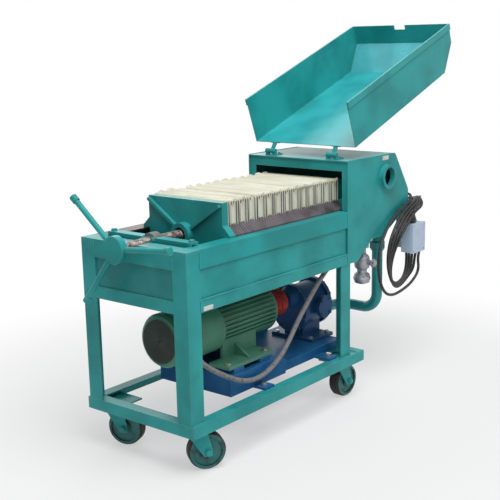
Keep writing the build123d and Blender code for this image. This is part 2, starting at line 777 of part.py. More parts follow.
def delivery_pipe():
    points = [
        (PUMP_END - 10, 0, PIPE_Z), (PIPE_X, 0, PIPE_Z),
        (PIPE_X, PIPE_Y, PIPE_Z), (PIPE_X, PIPE_Y, belly_z(PIPE_X) + PIPE_R),
    ]
    pipe = tube(points, [PIPE_BEND, PIPE_BEND], PIPE_R)
    pipe += x_rod(PUMP_END - 10, PUMP_END - 10 + FLANGE_T, 0, PIPE_Z, FLANGE_R)
    x0, x1 = PIPE_X - 2 * PIPE_R, PIPE_X + 2 * PIPE_R
    inside = [(x0, belly_z(x0)), (x1, belly_z(x1)), (x1, HEAD_TOP), (x0, HEAD_TOP)]
    return pipe - xz_prism(inside, PIPE_Y - 2 * PIPE_R, PIPE_Y + 2 * PIPE_R)


def relief_valve():
    top = HEAD_OUTLINE[4][1]
    drops = [
        (0, 0), (14, 0), (14, 30), (22, 30), (22, 44), (16, 48), (16, 70), (30, 84), (34, 106),
        (30, 128), (20, 138), (20, 150), (30, 156), (36, 174), (30, 192), (14, 198), (0, 198),
    ]
    body = z_turned([(r, top - drop) for r, drop in drops], VALVE_X, VALVE_Y)
    return body + y_rod(VALVE_Y - 52, VALVE_Y, VALVE_X, top - 106, 11)


def caster_frame(name):
    x, y = caster_positions()[name]
    return Pos(x, y, 0) * Rot(0, 0, CASTER_TURN[name])


def caster_fork(name):
    side = WHEEL_W / 2 + FORK_SIDE_GAP
    fork = z_rod(MOUNT_Z - 14, MOUNT_Z, 0, 0, SWIVEL_R)
    fork += box(-34, CASTER_TRAIL - 2, -side - FORK_T, side + FORK_T, MOUNT_Z - 20, MOUNT_Z - 14)
    cheek = [
        (-34, MOUNT_Z - 14), (CASTER_TRAIL - 2, MOUNT_Z - 14), (CASTER_TRAIL + 16, WHEEL_R + 6),
        (CASTER_TRAIL + 14, WHEEL_R - 14), (CASTER_TRAIL - 14, WHEEL_R - 14), (-34, MOUNT_Z - 34),
    ]
    fork += xz_prism(cheek, -side - FORK_T, -side)
    fork += xz_prism(cheek, side, side + FORK_T)
    fork += y_rod(-side - FORK_T - 5, side + FORK_T + 5, CASTER_TRAIL, WHEEL_R, AXLE_R)
    return caster_frame(name) * fork


def caster_wheel(name):
    half = WHEEL_W / 2
    tyre = make_face(Polyline(
        (AXLE_R + AXLE_GAP, -half + 1), (22, -half + 1), (22, -half + 6), (WHEEL_R - 14, -half + 6),
        (WHEEL_R - 14, -half), (WHEEL_R - 5, -half), (WHEEL_R, -half + 8), (WHEEL_R, half - 8),
        (WHEEL_R - 5, half), (WHEEL_R - 14, half), (WHEEL_R - 14, half - 6), (22, half - 6),
        (22, half - 1), (AXLE_R + AXLE_GAP, half - 1), close=True,
    ))
    wheel = Pos(CASTER_TRAIL, 0, WHEEL_R) * revolve(tyre, Axis.Y)
    return caster_frame(name) * wheel


def switch_bracket():
    x0 = HEAD_OUTLINE[2][0]
    near = BOX_NEAR + BOX_W
    low = BOX_Z + 14
    plate = box(x0, x0 + BRACKET_T, near, near + BRACKET_W, low, BRACKET_TOP)
    plate += box(x0, x0 + 58, near, near + BRACKET_T, low, BOX_Z + BOX_H - 10)
    return plate


def cable_hook():
    x0 = HEAD_OUTLINE[2][0]
    rod = x_rod(x0, x0 + HOOK_LENGTH, HOOK_Y, HOOK_Z, HOOK_R)
    rod += x_rod(x0, x0 + 4, HOOK_Y, HOOK_Z, 8)
    return rod + z_rod(HOOK_Z, HOOK_Z + 16, x0 + HOOK_LENGTH - HOOK_R, HOOK_Y, HOOK_R)


def switch_box():
    body = box(BOX_X, BOX_X + BOX_L, BOX_NEAR + 16, BOX_NEAR + BOX_W, BOX_Z, BOX_Z + BOX_H)
    body += box(BOX_X - 1.5, BOX_X + BOX_L + 1.5, BOX_NEAR, BOX_NEAR + 16, BOX_Z - 1.5, BOX_Z + BOX_H + 1.5)
    return body


def gland_spot():
    return BOX_X + 46, BOX_NEAR + 36, BOX_Z + BOX_H


def box_gland():
    x, y, z = gland_spot()
    return z_turned([(0, z), (19, z), (19, z + 20), (14, z + 26), (CABLE_R + 3, z + 44), (0, z + 44)], x, y)


def coil_points():
    """The loop of the hank: over the hook, down in front of the head's side and up behind the box."""
    return [
        (1398, -232, 772), (1388, -266, 764), (1308, -272, 735), (1232, -272, 704), (1163, -272, 655),
        (1108, -272, 600), (1092, -272, 532), (1104, -272, 464), (1142, -271, 410), (1200, -268, 388),
        (1266, -262, 392), (1332, -250, 404), (1390, -234, 436), (1422, -218, 490), (1433, -209, 552),
        (1430, -206, 624), (1420, -205, 696), (1410, -210, 748),
    ]


def cable_coil():
    points = coil_points()
    return tube(points, bend_radii(points), COIL_R)


def lead_points():
    x, y, z = gland_spot()
    return [(x, y, z + 44), (x, y, z + 68), (x + 2, y + 2, z + 100)]


def cable_lead():
    points = lead_points()
    return tube(points, bend_radii(points), CABLE_R)


def cable_plug():
    return z_turned([
        (0, 556), (17, 556), (20, 562), (20, 612), (15, 628), (CABLE_R + 3, 636), (CABLE_R, 752), (0, 752),
    ], PLUG_X, PLUG_Y)


def conduit_ends():
    """The conduit's two wall faces: on the terminal box and on the rear rail of the trough."""
    start = (COWL_END + 58, -TERMINAL_HALF, SHAFT_Z + MOTOR_R + FIN_H + 18)
    return start, (HEAD_FRONT - LEG_T, FITTING_INSET - TROUGH_W / 2, TROUGH_BOTTOM + FITTING_R)


def conduit_fittings():
    (x0, y0, z0), (x1, y1, z1) = conduit_ends()
    first = y_rod(y0 - FITTING_LENGTH, y0, x0, z0, FITTING_R)
    return group([first, x_rod(x1 - FITTING_LENGTH, x1, y1, z1, FITTING_R)])


def conduit_points():
    y = CONDUIT_Y
    (x0, y0, z0), (x1, y1, z1) = conduit_ends()
    return [
        (x0, y0 - FITTING_LENGTH, z0), (x0, y0 - 72, z0), (372, -150, 543), (308, -158, 560),
        (236, -160, 566), (150, -162, 556), (98, -174, 512), (84, -186, 442), (104, y, 376),
        (170, y, 328), (248, y, 280), (326, y, 242), (404, y, 226),
        (482, y, 239), (550, y, 273), (606, y, 322), (658, y - 1, 386), (720, y - 9, 456),
        (772, y - 24, 526), (826, y - 32, z1), (x1 - FITTING_LENGTH, y1, z1),
    ]


def conduit():
    points = conduit_points()
    return tube(points, bend_radii(points), CONDUIT_R)


NODES = {
    "base_side_rails": base_side_rails,
    "base_end_rails": base_end_rails,
    "caster_mounts": caster_mounts,
    "legs": legs,
    "trough_side_top_rails": trough_side_top_rails,
    "trough_front_top_rail": trough_front_top_rail,
    "trough_side_panels": trough_side_panels,
    "trough_front_panel": trough_front_panel,
    "trough_side_low_rails": trough_side_low_rails,
    "trough_end_low_rails": trough_end_low_rails,
    "trough_floor": trough_floor,
    "nut_crossbar": nut_crossbar,
    "screw_nut": screw_nut,
    "head_side_panels": head_side_panels,
    "head_top_panel": lambda: head_wrap(0, 1),
    "head_slope_panel": lambda: head_wrap(1, 2),
    "head_rear_panel": lambda: head_wrap(2, 3),
    "head_belly_panel": lambda: head_wrap(3, 6),
    "head_front_frame": head_front_frame,
    "oil_port": oil_port,
    "hinge_brackets": hinge_brackets,
    "fixed_plate": fixed_plate,
    "filter_plates": filter_plates,
    "filter_frames": filter_frames,
    "filter_papers": filter_papers,
    "press_plate": press_plate,
    "press_screw": press_screw,
    "handwheel_hub": handwheel_hub,
    "handwheel_spokes": handwheel_spokes,
    "lid_top_panel": lid_top_panel,
    "lid_slope_panel": lid_slope_panel,
    "lid_side_walls": lid_side_walls,
    "lid_end_wall": lid_end_wall,
    "lid_hinge_straps": lid_hinge_straps,
    "drive_base": drive_base,
    "motor_housing": motor_housing,
    "motor_fins": motor_fins,
    "motor_fan_cowl": motor_fan_cowl,
    "motor_terminal_box": motor_terminal_box,
    "drive_coupling": drive_coupling,
    "pump_body": pump_body,
    "delivery_pipe": delivery_pipe,
    "relief_valve": relief_valve,
    "switch_bracket": switch_bracket,
    "cable_hook": cable_hook,
    "switch_box": switch_box,
    "box_gland": box_gland,
    "cable_lead": cable_lead,
    "cable_coil": cable_coil,
    "cable_plug": cable_plug,
    "conduit_fittings": conduit_fittings,
    "conduit": conduit,
}
CORDS = ("cable_lead", "cable_coil", "cable_plug", "conduit")
for place in CASTER_TURN:
    NODES["caster_fork_" + place] = lambda place=place: caster_fork(place)
    NODES["caster_wheel_" + place] = lambda place=place: caster_wheel(place)


def build():
    """Every node, moved so that the middle of the whole stands over the origin."""
    shapes = {name: make() for name, make in NODES.items()}
    boxes = [shape.bounding_box() for name, shape in shapes.items() if name not in CORDS]
    shift = (
        -(min(b.min.X for b in boxes) + max(b.max.X for b in boxes)) / 2,
        -(min(b.min.Y for b in boxes) + max(b.max.Y for b in boxes)) / 2,
        -min(b.min.Z for b in boxes),
    )
    parts = {}
    for name, shape in shapes.items():
        solids = [solid.moved(Pos(*shift)) for solid in shape.solids()]
        parts[name] = solids[0] if len(solids) == 1 else Compound(children=solids)
    return parts, shift


if __name__ == "__main__":
    os.makedirs("parts", exist_ok=True)
    parts, shift = build()
    for name, shape in parts.items():
        export_step(shape, "parts/" + name + ".step")
    print("shift", [round(v, 3) for v in shift])
    routes = {"conduit": conduit_points(), "cable_lead": lead_points()}
    for name, points in routes.items():
        print(name, "bends", [round(r, 1) for r in bend_radii(points)])
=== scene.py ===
"""Looks of a wheeled plate filter press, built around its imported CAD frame.

Sections follow the machine as it is put together: cart, casters, trough, screw nut, head, filter
pack, screw press, lid, drive, oil line and electrics, then the floor, the lights and the camera.
"""

import bmesh
import bpy
import numpy as np
from mathutils import Matrix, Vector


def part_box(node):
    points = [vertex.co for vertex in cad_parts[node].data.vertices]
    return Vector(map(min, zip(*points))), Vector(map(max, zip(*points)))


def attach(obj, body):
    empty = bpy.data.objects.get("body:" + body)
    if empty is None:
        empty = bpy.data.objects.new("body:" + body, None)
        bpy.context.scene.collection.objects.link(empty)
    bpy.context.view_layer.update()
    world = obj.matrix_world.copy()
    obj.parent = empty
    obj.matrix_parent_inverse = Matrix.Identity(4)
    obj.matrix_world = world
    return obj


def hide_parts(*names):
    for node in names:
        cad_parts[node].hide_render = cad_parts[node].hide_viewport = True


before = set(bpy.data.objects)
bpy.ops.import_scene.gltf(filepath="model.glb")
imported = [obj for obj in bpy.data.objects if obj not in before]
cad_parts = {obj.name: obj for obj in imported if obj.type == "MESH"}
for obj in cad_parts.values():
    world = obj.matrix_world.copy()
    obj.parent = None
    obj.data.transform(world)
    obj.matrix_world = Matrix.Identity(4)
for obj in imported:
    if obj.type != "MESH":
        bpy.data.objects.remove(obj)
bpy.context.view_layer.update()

# Cart frame. Rolled steel angles welded into a base ring with four legs, brushed all over with a
# semi-gloss machine enamel. The paint is thin along the edges, where bare primer shows in small
# chips; a painted highlight lightens every edge, and dust lies on the faces that look up.
TEAL = (0.018, 0.345, 0.345)
PRIMER = (0.20, 0.30, 0.29)
DUST = (0.20, 0.42, 0.41)
UP = (0.0, 0.0, 1.0)
BEAD_STEP, BEAD_SWELL = 0.004, 0.2
TROUGH_HALF = 245.0
rail_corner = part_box("trough_front_top_rail")[0]
SHIFT = np.array([rail_corner.x * 1000, rail_corner.y * 1000 + TROUGH_HALF, 0.0])


def row(points):
    """Millimetres from the trough's front face, moved and turned into metres in the part's frame."""
    return (np.asarray(points, float) + SHIFT) / 1000.0


class Shade:
    """A socket of a material's node tree. Arithmetic on it adds Math nodes; node() adds any other."""

    def __init__(self, tree, socket=None):
        self.tree, self.socket = tree, socket

    def node(self, kind, settings=(), feeds=(), out=0):
        """Adds one node: its settings first, then values or links into its sockets; gives one output."""
        made = self.tree.nodes.new(kind)
        for name, value in dict(settings).items():
            setattr(made, name, value)
        for key, value in dict(feeds).items():
            if isinstance(value, Shade):
                self.tree.links.new(value.socket, made.inputs[key])
            else:
                made.inputs[key].default_value = value
        return Shade(self.tree, made.outputs[out])

    def math(self, operation, a, b):
        """One Math node on two values, each a socket or a number."""
        return self.node("ShaderNodeMath", {"operation": operation}, {0: a, 1: b})

    def __add__(self, other):
        return self.math("ADD", self, other)

    def __mul__(self, other):
        return self.math("MULTIPLY", self, other)

    def __sub__(self, other):
        return self.math("SUBTRACT", self, other)

    def __rsub__(self, other):
        return self.math("SUBTRACT", other, self)

    __radd__, __rmul__ = __add__, __mul__

    def step(self, low, high):
        """0 below low, 1 above high, smooth between them."""
        feeds = {"Value": self, "From Min": low, "From Max": high}
        return self.node("ShaderNodeMapRange", {"interpolation_type": "SMOOTHSTEP"}, feeds)

    def mix(self, first, second):
        """Colour that goes from first to second as this value goes from 0 to 1."""
        pair = [c if isinstance(c, Shade) else (*c, 1.0) for c in (first, second)]
        return self.node("ShaderNodeMix", {"data_type": "RGBA"}, {0: self, 6: pair[0], 7: pair[1]}, 2)

    def noise(self, spot, scale, detail=3.0, stretch=None):
        """Cloud of values about one half, stretched along axes where a Mapping scale is given."""
        if stretch:
            spot = self.node("ShaderNodeMapping", (), {"Vector": spot, "Scale": stretch})
        return self.node("ShaderNodeTexNoise", (), {"Vector": spot, "Scale": scale, "Detail": detail})

    def spot(self):
        """Place on the piece in metres, from its Object coordinates."""
        return self.node("ShaderNodeTexCoord", (), (), "Object")

    def facing(self, direction):
        """Cosine between the face and a fixed direction of the part."""
        normal = self.node("ShaderNodeNewGeometry", (), (), "Normal")
        feeds = {0: normal, 1: direction}
        return self.node("ShaderNodeVectorMath", {"operation": "DOT_PRODUCT"}, feeds, "Value")

    def edge(self, radius):
        """0 on a flat face and up to about 0.3 on a corner, where a rounded normal leaves the true one."""
        rounded = self.node("ShaderNodeBevel", {"samples": 4}, {"Radius": radius})
        normal = self.node("ShaderNodeNewGeometry", (), (), "Normal")
        feeds = {0: rounded, 1: normal}
        return 1.0 - self.node("ShaderNodeVectorMath", {"operation": "DOT_PRODUCT"}, feeds, "Value")


def tinted(colour, share, lift=0.0):
    """Each channel of a colour times a share, plus a lift."""
    return tuple(share * c + lift for c in colour)


def finish(name, make, shine=0.5):
    """New material: make(shade) gives colour, roughness, metallic, bump height and bump depth in metres;
    shine is how strongly its surface mirrors what stands around it."""
    made = bpy.data.materials.new(name)
    made.use_nodes = True
    tree = made.node_tree
    shader = tree.nodes["Principled BSDF"]
    shader.inputs["Specular IOR Level"].default_value = shine
    shade = Shade(tree)
    colour, rough, metal, height, depth = make(shade)
    for key, value in (("Base Color", colour), ("Roughness", rough), ("Metallic", metal)):
        if isinstance(value, Shade):
            tree.links.new(value.socket, shader.inputs[key])
        else:
            shader.inputs[key].default_value = value
    bump = shade.node("ShaderNodeBump", (), {"Height": height, "Distance": depth, "Strength": 1.0})
    tree.links.new(bump.socket, shader.inputs["Normal"])
    return made


def enamel(name, colour, gloss=0.34, wear_and_highlight=1.0, dust=0.15, shine=0.22):
    """Enamel whose colour drifts over a hand's breadth, with dusty tops, chipped edges, orange peel and a
    painted highlight along every edge.
    """
    def make(s):
        spot = s.spot()
        drift = s.noise(spot, 6.0, 4.0)
        edge = s.edge(0.003)
        chip = (edge * (3.2 * wear_and_highlight) + s.noise(spot, 60.0, 5.0)).step(1.02, 1.12)
        # Painted highlight: every edge is lightened towards 1.7 times the paint's colour, as if the light
        # caught it.
        edge_highlight = (edge * 2.4 * wear_and_highlight).step(0.1, 0.9)
        dusty = s.facing(UP).step(0.6, 1.0) * s.noise(spot, 38.0, 5.0).step(0.3, 0.75) * dust
        paint = drift.step(0.3, 0.7).mix(tinted(colour, 0.80), tinted(colour, 1.12, 0.01))
        tone = dusty.mix(paint, DUST)
        tone = chip.mix((edge_highlight * 0.55).mix(tone, tinted(colour, 1.7, 0.04)), PRIMER)
        rough = drift * 0.16 + dusty * 0.30 + chip * 0.25 + (gloss - 0.08)
        peel = s.noise(spot, 420.0, 1.0) * 0.35 + s.noise(spot, 70.0, 2.0) - chip * 0.8
        return tone, rough, 0.0, peel, 0.00022
    return finish(name, make, shine)


def dress(material, *names):
    """Gives CAD nodes their finish."""
    for name in names:
        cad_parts[name].data.materials.clear()
        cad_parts[name].data.materials.append(material)


def piece(name, grids, body, material, wrap_u=False, wrap_v=False, sharp=0.6):
    """Mesh of k patches from an array (k, nu, nv, 3): point (i, j) joins (i+1, j), (i+1, j+1), (i, j+1)."""
    k, nu, nv, _ = grids.shape
    i, j = np.meshgrid(np.arange(nu - (not wrap_u)), np.arange(nv - (not wrap_v)), indexing="ij")
    i2, j2 = (i + 1) % nu, (j + 1) % nv
    quad = np.stack([i * nv + j, i2 * nv + j, i2 * nv + j2, i * nv + j2], -1).reshape(-1, 4)
    quads = (quad[None] + (np.arange(k) * nu * nv)[:, None, None]).reshape(-1, 4)
    mesh = bpy.data.meshes.new(name)
    mesh.from_pydata(grids.reshape(-1, 3), [], quads)
    work = bmesh.new()
    work.from_mesh(mesh)
    bmesh.ops.remove_doubles(work, verts=work.verts, dist=2e-6)
    bmesh.ops.recalc_face_normals(work, faces=work.faces)
    work.to_mesh(mesh)
    work.free()
    mesh.validate()
    mesh.shade_smooth()
    mesh.set_sharp_from_angle(angle=sharp)
    mesh.materials.append(material)
    made = bpy.data.objects.new(name, mesh)
    bpy.context.scene.collection.objects.link(made)
    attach(made, body)
    return made


def across(direction):
    """Two unit vectors square to each direction and to each other."""
    direction = np.asarray(direction, float)
    spare = np.where(np.abs(direction[..., :1]) > 0.8, (0.0, 1.0, 0.0), (1.0, 0.0, 0.0))
    first = np.cross(direction, spare)
    first /= np.linalg.norm(first, axis=-1, keepdims=True)
    return first, np.cross(direction, first)


def beads(name, runs, radius, body, material):
    """Weld beads: a circle carried along each run, rippled every 4 mm and pinched shut at both ends."""
    runs = row(runs)
    along = runs[:, 1] - runs[:, 0]
    length = np.linalg.norm(along, axis=1)[:, None]
    first, second = across(along / length)
    u = np.linspace(0.0, 1.0, 100)
    v = np.linspace(0.0, 2 * np.pi, 8, endpoint=False)
    swell = 1.0 + BEAD_SWELL * np.abs(np.sin(np.pi * u * length / BEAD_STEP))
    swell = radius / 1000 * swell * np.sqrt(np.clip(1.0 - (2 * u - 1) ** 16, 0.0, 1.0))
    ring = np.cos(v)[None, :, None] * first[:, None] + np.sin(v)[None, :, None] * second[:, None]
    line = runs[:, None, 0] + u[None, :, None] * along[:, None]
    grids = line[:, :, None] + swell[:, :, None, None] * ring[:, None]
    return piece(name, grids, body, material, wrap_v=True)


def mirrored(half, *runs):
    """Seams on both sides: each run from (x, z) to (x, z), laid at minus and at plus half the width."""
    return [[(x0, y, z0), (x1, y, z1)] for y in (-half, half) for (x0, z0), (x1, z1) in runs]


LEG_FACE = 246.0
LEG_FEET = ((4.0, 60.0), (880.0, 938.0))
FOOT_SEAM_Z = 188.5
BASE_ENDS = (42.0, 980.0)
BASE_FACE = 254.0
MITRE_SHARE = 0.84
MITRE_SEAM_Z = 188.3
CART_BEAD = 2.6
teal = enamel("brushed_teal_enamel", TEAL)
dress(teal, "base_side_rails", "base_end_rails", "caster_mounts", "legs")
cart_seams = []
for x0, x1 in LEG_FEET:
    cart_seams += mirrored(LEG_FACE, ((x0, FOOT_SEAM_Z), (x1, FOOT_SEAM_Z)))
cart_seams += [
    [(x, y, MITRE_SEAM_Z), (x, y * MITRE_SHARE, MITRE_SEAM_Z)]
    for x in BASE_ENDS
    for y in (-BASE_FACE, BASE_FACE)
]
beads("cart_weld_beads", cart_seams, CART_BEAD, "machine", teal)


# Casters. Pressed steel forks swivel under welded pads on a ball race; each carries a moulded rubber
# wheel on a bolted axle. The cart was painted on its wheels, so green overspray lies on their sides.
CASTER_SPOTS = {"front_near": (86, -190, -34), "front_far": (86, 190, -70),
                "rear_near": (936, -190, -2), "rear_far": (936, 190, -20)}
CASTER_TRAIL = 28.0
WHEEL_R = 66.0
AXLE_END = 38.0
AXLE_NUT = 9.5
RACE_R = 33.0
RACE_Z = 148.0
RACE_RINGS = [(0.94, 0, 0), (1.06, 0, 0.02), (1.10, 0, 0.08), (1.06, 0, 0.14), (0.94, 0, 0.16)]
HEX_HEAD = [
    (0, 0, 0), (1.3, 0, 0), (1.3, 0, 0.18), (1.0, 1, 0.18), (1.0, 1, 0.78), (0.86, 0, 0.88), (0, 0, 0.88),
]


def studs(name, spots, normals, size, body, material, rows):
    """Fasteners: twelve-sided rings (radius, six-sidedness, height), as shares of a size in millimetres,
    stacked along each normal."""
    spots = row(spots)
    normals = np.broadcast_to(np.asarray(normals, float), spots.shape)
    first, second = across(normals)
    v = np.arange(12) * np.pi / 6
    radius, six, height = np.array(rows, float).T
    corner = np.where(np.arange(12) % 2 == 0, 1.0 / np.cos(np.pi / 6), 1.0)
    ring = size / 1000 * radius[:, None] * (1.0 + six[:, None] * (corner - 1.0))
    flat = np.cos(v)[:, None] * first[:, None] + np.sin(v)[:, None] * second[:, None]
    rise = size / 1000 * height[None, :, None, None] * normals[:, None, None]
    grids = spots[:, None, None] + ring[None, :, :, None] * flat[:, None] + rise
    return piece(name, grids, body, material, wrap_v=True, sharp=0.4)


def caster_rubber(name, axle):
    """Dark rubber with brown dust, flecked green where its sides face along the axle."""
    def make(s):
        spot = s.spot()
        side = s.math("ABSOLUTE", s.facing(axle), 0.0).step(0.5, 0.95)
        mist = side * s.noise(spot, 26.0, 5.0).step(0.30, 0.55)
        dusty = s.noise(spot, 90.0, 5.0).step(0.35, 0.8)
        tone = mist.mix(dusty.mix((0.012, 0.012, 0.012), (0.060, 0.042, 0.034)), (0.022, 0.170, 0.160))
        return tone, 0.72 - mist * 0.25 + dusty * 0.1, 0.0, s.noise(spot, 300.0, 3.0) + dusty, 0.0004
    return finish(name, make)


def zinc(name, colour=(0.50, 0.48, 0.43), rough=0.36):
    """Dull plated steel with a blotchy haze and fine scratches."""
    def make(s):
        spot = s.spot()
        haze = s.noise(spot, 45.0, 4.0).step(0.3, 0.75)
        line = s.noise(spot, 300.0, 2.0, (1.0, 0.06, 1.0))
        tone = haze.mix(colour, tinted(colour, 0.55))
        return tone, haze * 0.22 + line * 0.12 + (rough - 0.06), 0.85, line, 0.0001
    return finish(name, make)


plated = zinc("dull_zinc_plate")
for place, (x, y, turn) in CASTER_SPOTS.items():
    heading = np.array([np.cos(np.radians(turn)), np.sin(np.radians(turn)), 0.0])
    axle = np.array([-heading[1], heading[0], 0.0])
    hub = np.array([x, y, WHEEL_R]) + CASTER_TRAIL * heading
    fork = "fork_" + place
    dress(teal, "caster_" + fork)
    dress(caster_rubber("rubber_" + place, tuple(axle)), "caster_wheel_" + place)
    ends = [hub + side * AXLE_END * axle for side in (-1, 1)]
    studs("axle_nuts_" + place, ends, [-axle, axle], AXLE_NUT, fork, teal, HEX_HEAD)
    studs("swivel_race_" + place, [(x, y, RACE_Z)], UP, RACE_R, fork, plated, RACE_RINGS)


# Trough. Angle rails top and bottom with thin sheet between them and a sheet floor, seam welded to
# the legs. Old oil darkens the floor and the far top rail. One bare paper label is on a low rail.
NEAR = (0.0, -1.0, 0.0)
FAR_RAIL = (0.10, 0.12)
LEG_SEAM_X = 63.0
LEG_SEAMS = ((563.0, 603.0), (708.0, 766.0))
LOW_RAIL_TOP = 604.5
LOW_RAIL_FACE = 245.5
STITCHES = ((70.0, 250.0), (340.0, 560.0), (650.0, 900.0))
FRONT_SEAM_Y = 182.0
FRONT_SEAMS = ((564.0, 602.0), (708.0, 764.0))
HEAD_SEAM_X = 916.5
HEAD_SEAM = (566.0, 764.0)
TROUGH_BEAD = 2.2
LABEL_LIFT, LABEL_PILLOW = 0.15, 0.4
RAIL_LABEL = (76, 122, 565, 580)


def oily_enamel(name):
    """Teal paint under a brown film of oil that pools into patches."""
    def make(s):
        spot = s.spot()
        film = s.noise(spot, 9.0, 6.0).step(0.35, 0.7)
        tone = film.mix(TEAL, (0.050, 0.060, 0.045))
        return tone, 0.30 - film * 0.14, 0.0, s.noise(spot, 120.0, 2.0), 0.0002
    return finish(name, make)


def slide_way(name):
    """Teal paint, rubbed away under the plates' ears on the far rail, where red-brown oil has soaked in."""
    def make(s):
        spot = s.spot()
        far = s.node("ShaderNodeSeparateXYZ", (), {"Vector": spot}, "Y").step(*FAR_RAIL)
        top = s.math("MAXIMUM", s.facing(UP), s.facing(NEAR)).step(0.4, 0.8)
        stain = s.noise(spot, 30.0, 5.0).step(0.2, 0.5)
        soak = far * top * (stain * 0.3 + 0.7)
        drift = s.noise(spot, 6.0, 4.0).step(0.3, 0.7)
        paint = drift.mix(tinted(TEAL, 0.80), tinted(TEAL, 1.12))
        tone = soak.mix(paint, stain.mix((0.075, 0.036, 0.030), (0.040, 0.022, 0.020)))
        return tone, 0.36 - soak * 0.08 + drift * 0.1, 0.0, s.noise(spot, 160.0, 3.0), 0.0003
    return finish(name, make, shine=0.25)


def blank_paper(name):
    """Off-white label stock with faint fibres and grubby patches."""
    def make(s):
        spot = s.spot()
        fibre = s.noise(spot, 900.0, 3.0)
        grubby = s.noise(spot, 70.0, 4.0).step(0.45, 0.75)
        return grubby.mix((0.78, 0.78, 0.74), (0.52, 0.53, 0.48)), 0.62 + fibre * 0.1, 0.0, fibre, 0.0001
    return finish(name, make)


dress(slide_way("oily_slide_way"), "trough_side_top_rails")
dress(teal, "trough_front_top_rail", "trough_side_panels",
      "trough_side_low_rails", "trough_end_low_rails")
# The front panel's teal is darkened to three quarters as painted shade on the recessed panel below the top
# rail and handwheel.
dress(enamel("front_panel_painted_shade_enamel", tinted(TEAL, 0.76)), "trough_front_panel")
dress(oily_enamel("oily_trough_floor"), "trough_floor")


def upright(x, *bands):
    """Upright runs at one x, from the bottom to the top of each band of heights."""
    return [((x, low), (x, high)) for low, high in bands]


seams = mirrored(LEG_FACE, *upright(LEG_SEAM_X, *LEG_SEAMS))
seams += mirrored(LOW_RAIL_FACE, *[((x0, LOW_RAIL_TOP), (x1, LOW_RAIL_TOP)) for x0, x1 in STITCHES])
seams += mirrored(FRONT_SEAM_Y, *upright(0.0, *FRONT_SEAMS))
seams += mirrored(LEG_FACE, *upright(HEAD_SEAM_X, HEAD_SEAM))
beads("trough_weld_beads", seams, TROUGH_BEAD, "machine", teal)


def label(name, x0, x1, z0, z1, y, material):
    """Pillowed rectangle: a grid in X and Z, lifted by a flat-topped hump that falls to its edges."""
    u, v = np.meshgrid(np.linspace(-1, 1, 13), np.linspace(-1, 1, 9), indexing="ij")
    lift = LABEL_LIFT + LABEL_PILLOW * (1 - u ** 6) * (1 - v ** 6)
    grid = np.stack([(x0 + x1) / 2 + u * (x1 - x0) / 2, y - lift, (z0 + z1) / 2 + v * (z1 - z0) / 2], -1)
    return piece(name, row(grid)[None], "machine", material)


paper_label = blank_paper("bare_label_stock")
label("rail_label", *RAIL_LABEL, -TROUGH_HALF, paper_label)


# Screw nut. A flanged iron nut sits behind an angle that spans the trough, bolted through the angle.
# It is bare cast iron, greased, and darker than the paint around it.
FRONT = (-1.0, 0.0, 0.0)
NUT_BOLTS = ((78,), (-24, 24), (735, 775))
BAR_BOLTS = ((97,), (-182, 182), (783,))
NUT_BOLT, BAR_BOLT = 7.0, 9.0


def bolt_grid(xs, ys, zs):
    """Every meeting of these x, y and z: the places of a bolt pattern."""
    return [(x, y, z) for x in xs for y in ys for z in zs]


def cast_iron(name, colour, rough=0.5, grease=0.5):
    """Sand-cast skin: coarse grain in the bump and the tone, under patches of dark grease."""
    def make(s):
        spot = s.spot()
        grain = s.noise(spot, 260.0, 4.0)
        wet = s.noise(spot, 18.0, 5.0).step(0.4, 0.7) * grease
        tone = wet.mix(grain.mix(colour, tinted(colour, 1.5)), tinted(colour, 0.4))
        return tone, rough - wet * 0.25 + grain * 0.1, 0.35, grain, 0.0006
    return finish(name, make)


dress(teal, "nut_crossbar")
dress(cast_iron("greased_nut_iron", (0.15, 0.15, 0.15)), "screw_nut")
studs("nut_flange_bolts", bolt_grid(*NUT_BOLTS), FRONT, NUT_BOLT, "machine", teal, HEX_HEAD)
studs("crossbar_bolts", bolt_grid(*BAR_BOLTS), UP, BAR_BOLT, "machine", teal, HEX_HEAD)


# Head. A folded sheet box with a rolled collar for the oil port, welded along its corners. The
# hinge brackets are bolted to its top; a second bare label is on its side.
HEAD_LINE = [(917, 965), (1265, 965), (1374, 804), (1374, 736), (1180, 636), (1093, 636), (985, 562)]
HEAD_SEAM_Y = 243.5
HEAD_BEAD = 2.0
PORT_X, PORT_Y, PORT_Z = 1198.0, -246.0, 876.0
PORT_SEAM_R = 51.5
PORT_STEPS = 13
PORT_BEAD = 2.4
HEAD_LABEL = (1168, 1214, 944, 961)
LEAF_BOLTS = ((980,), (-166, -134, 134, 166), (969,))
LEAF_BOLT = 6.0
dress(teal, "head_side_panels", "head_top_panel", "head_slope_panel", "head_rear_panel",
      "head_belly_panel", "head_front_frame", "oil_port", "hinge_brackets", "fixed_plate")
head_seams = mirrored(HEAD_SEAM_Y, *zip(HEAD_LINE, HEAD_LINE[1:]))
beads("head_weld_beads", head_seams, HEAD_BEAD, "machine", teal)
around = np.linspace(0, 2 * np.pi, PORT_STEPS)
port_x, port_z = PORT_X + PORT_SEAM_R * np.cos(around), PORT_Z + PORT_SEAM_R * np.sin(around)
port_ring = np.stack([port_x, np.full(PORT_STEPS, PORT_Y), port_z], -1)
beads("port_weld_bead", np.stack([port_ring[:-1], port_ring[1:]], 1), PORT_BEAD, "machine", teal)
label("head_label", *HEAD_LABEL, -TROUGH_HALF, paper_label)
studs("hinge_leaf_bolts", bolt_grid(*LEAF_BOLTS), UP, LEAF_BOLT, "machine", teal, HEX_HEAD)


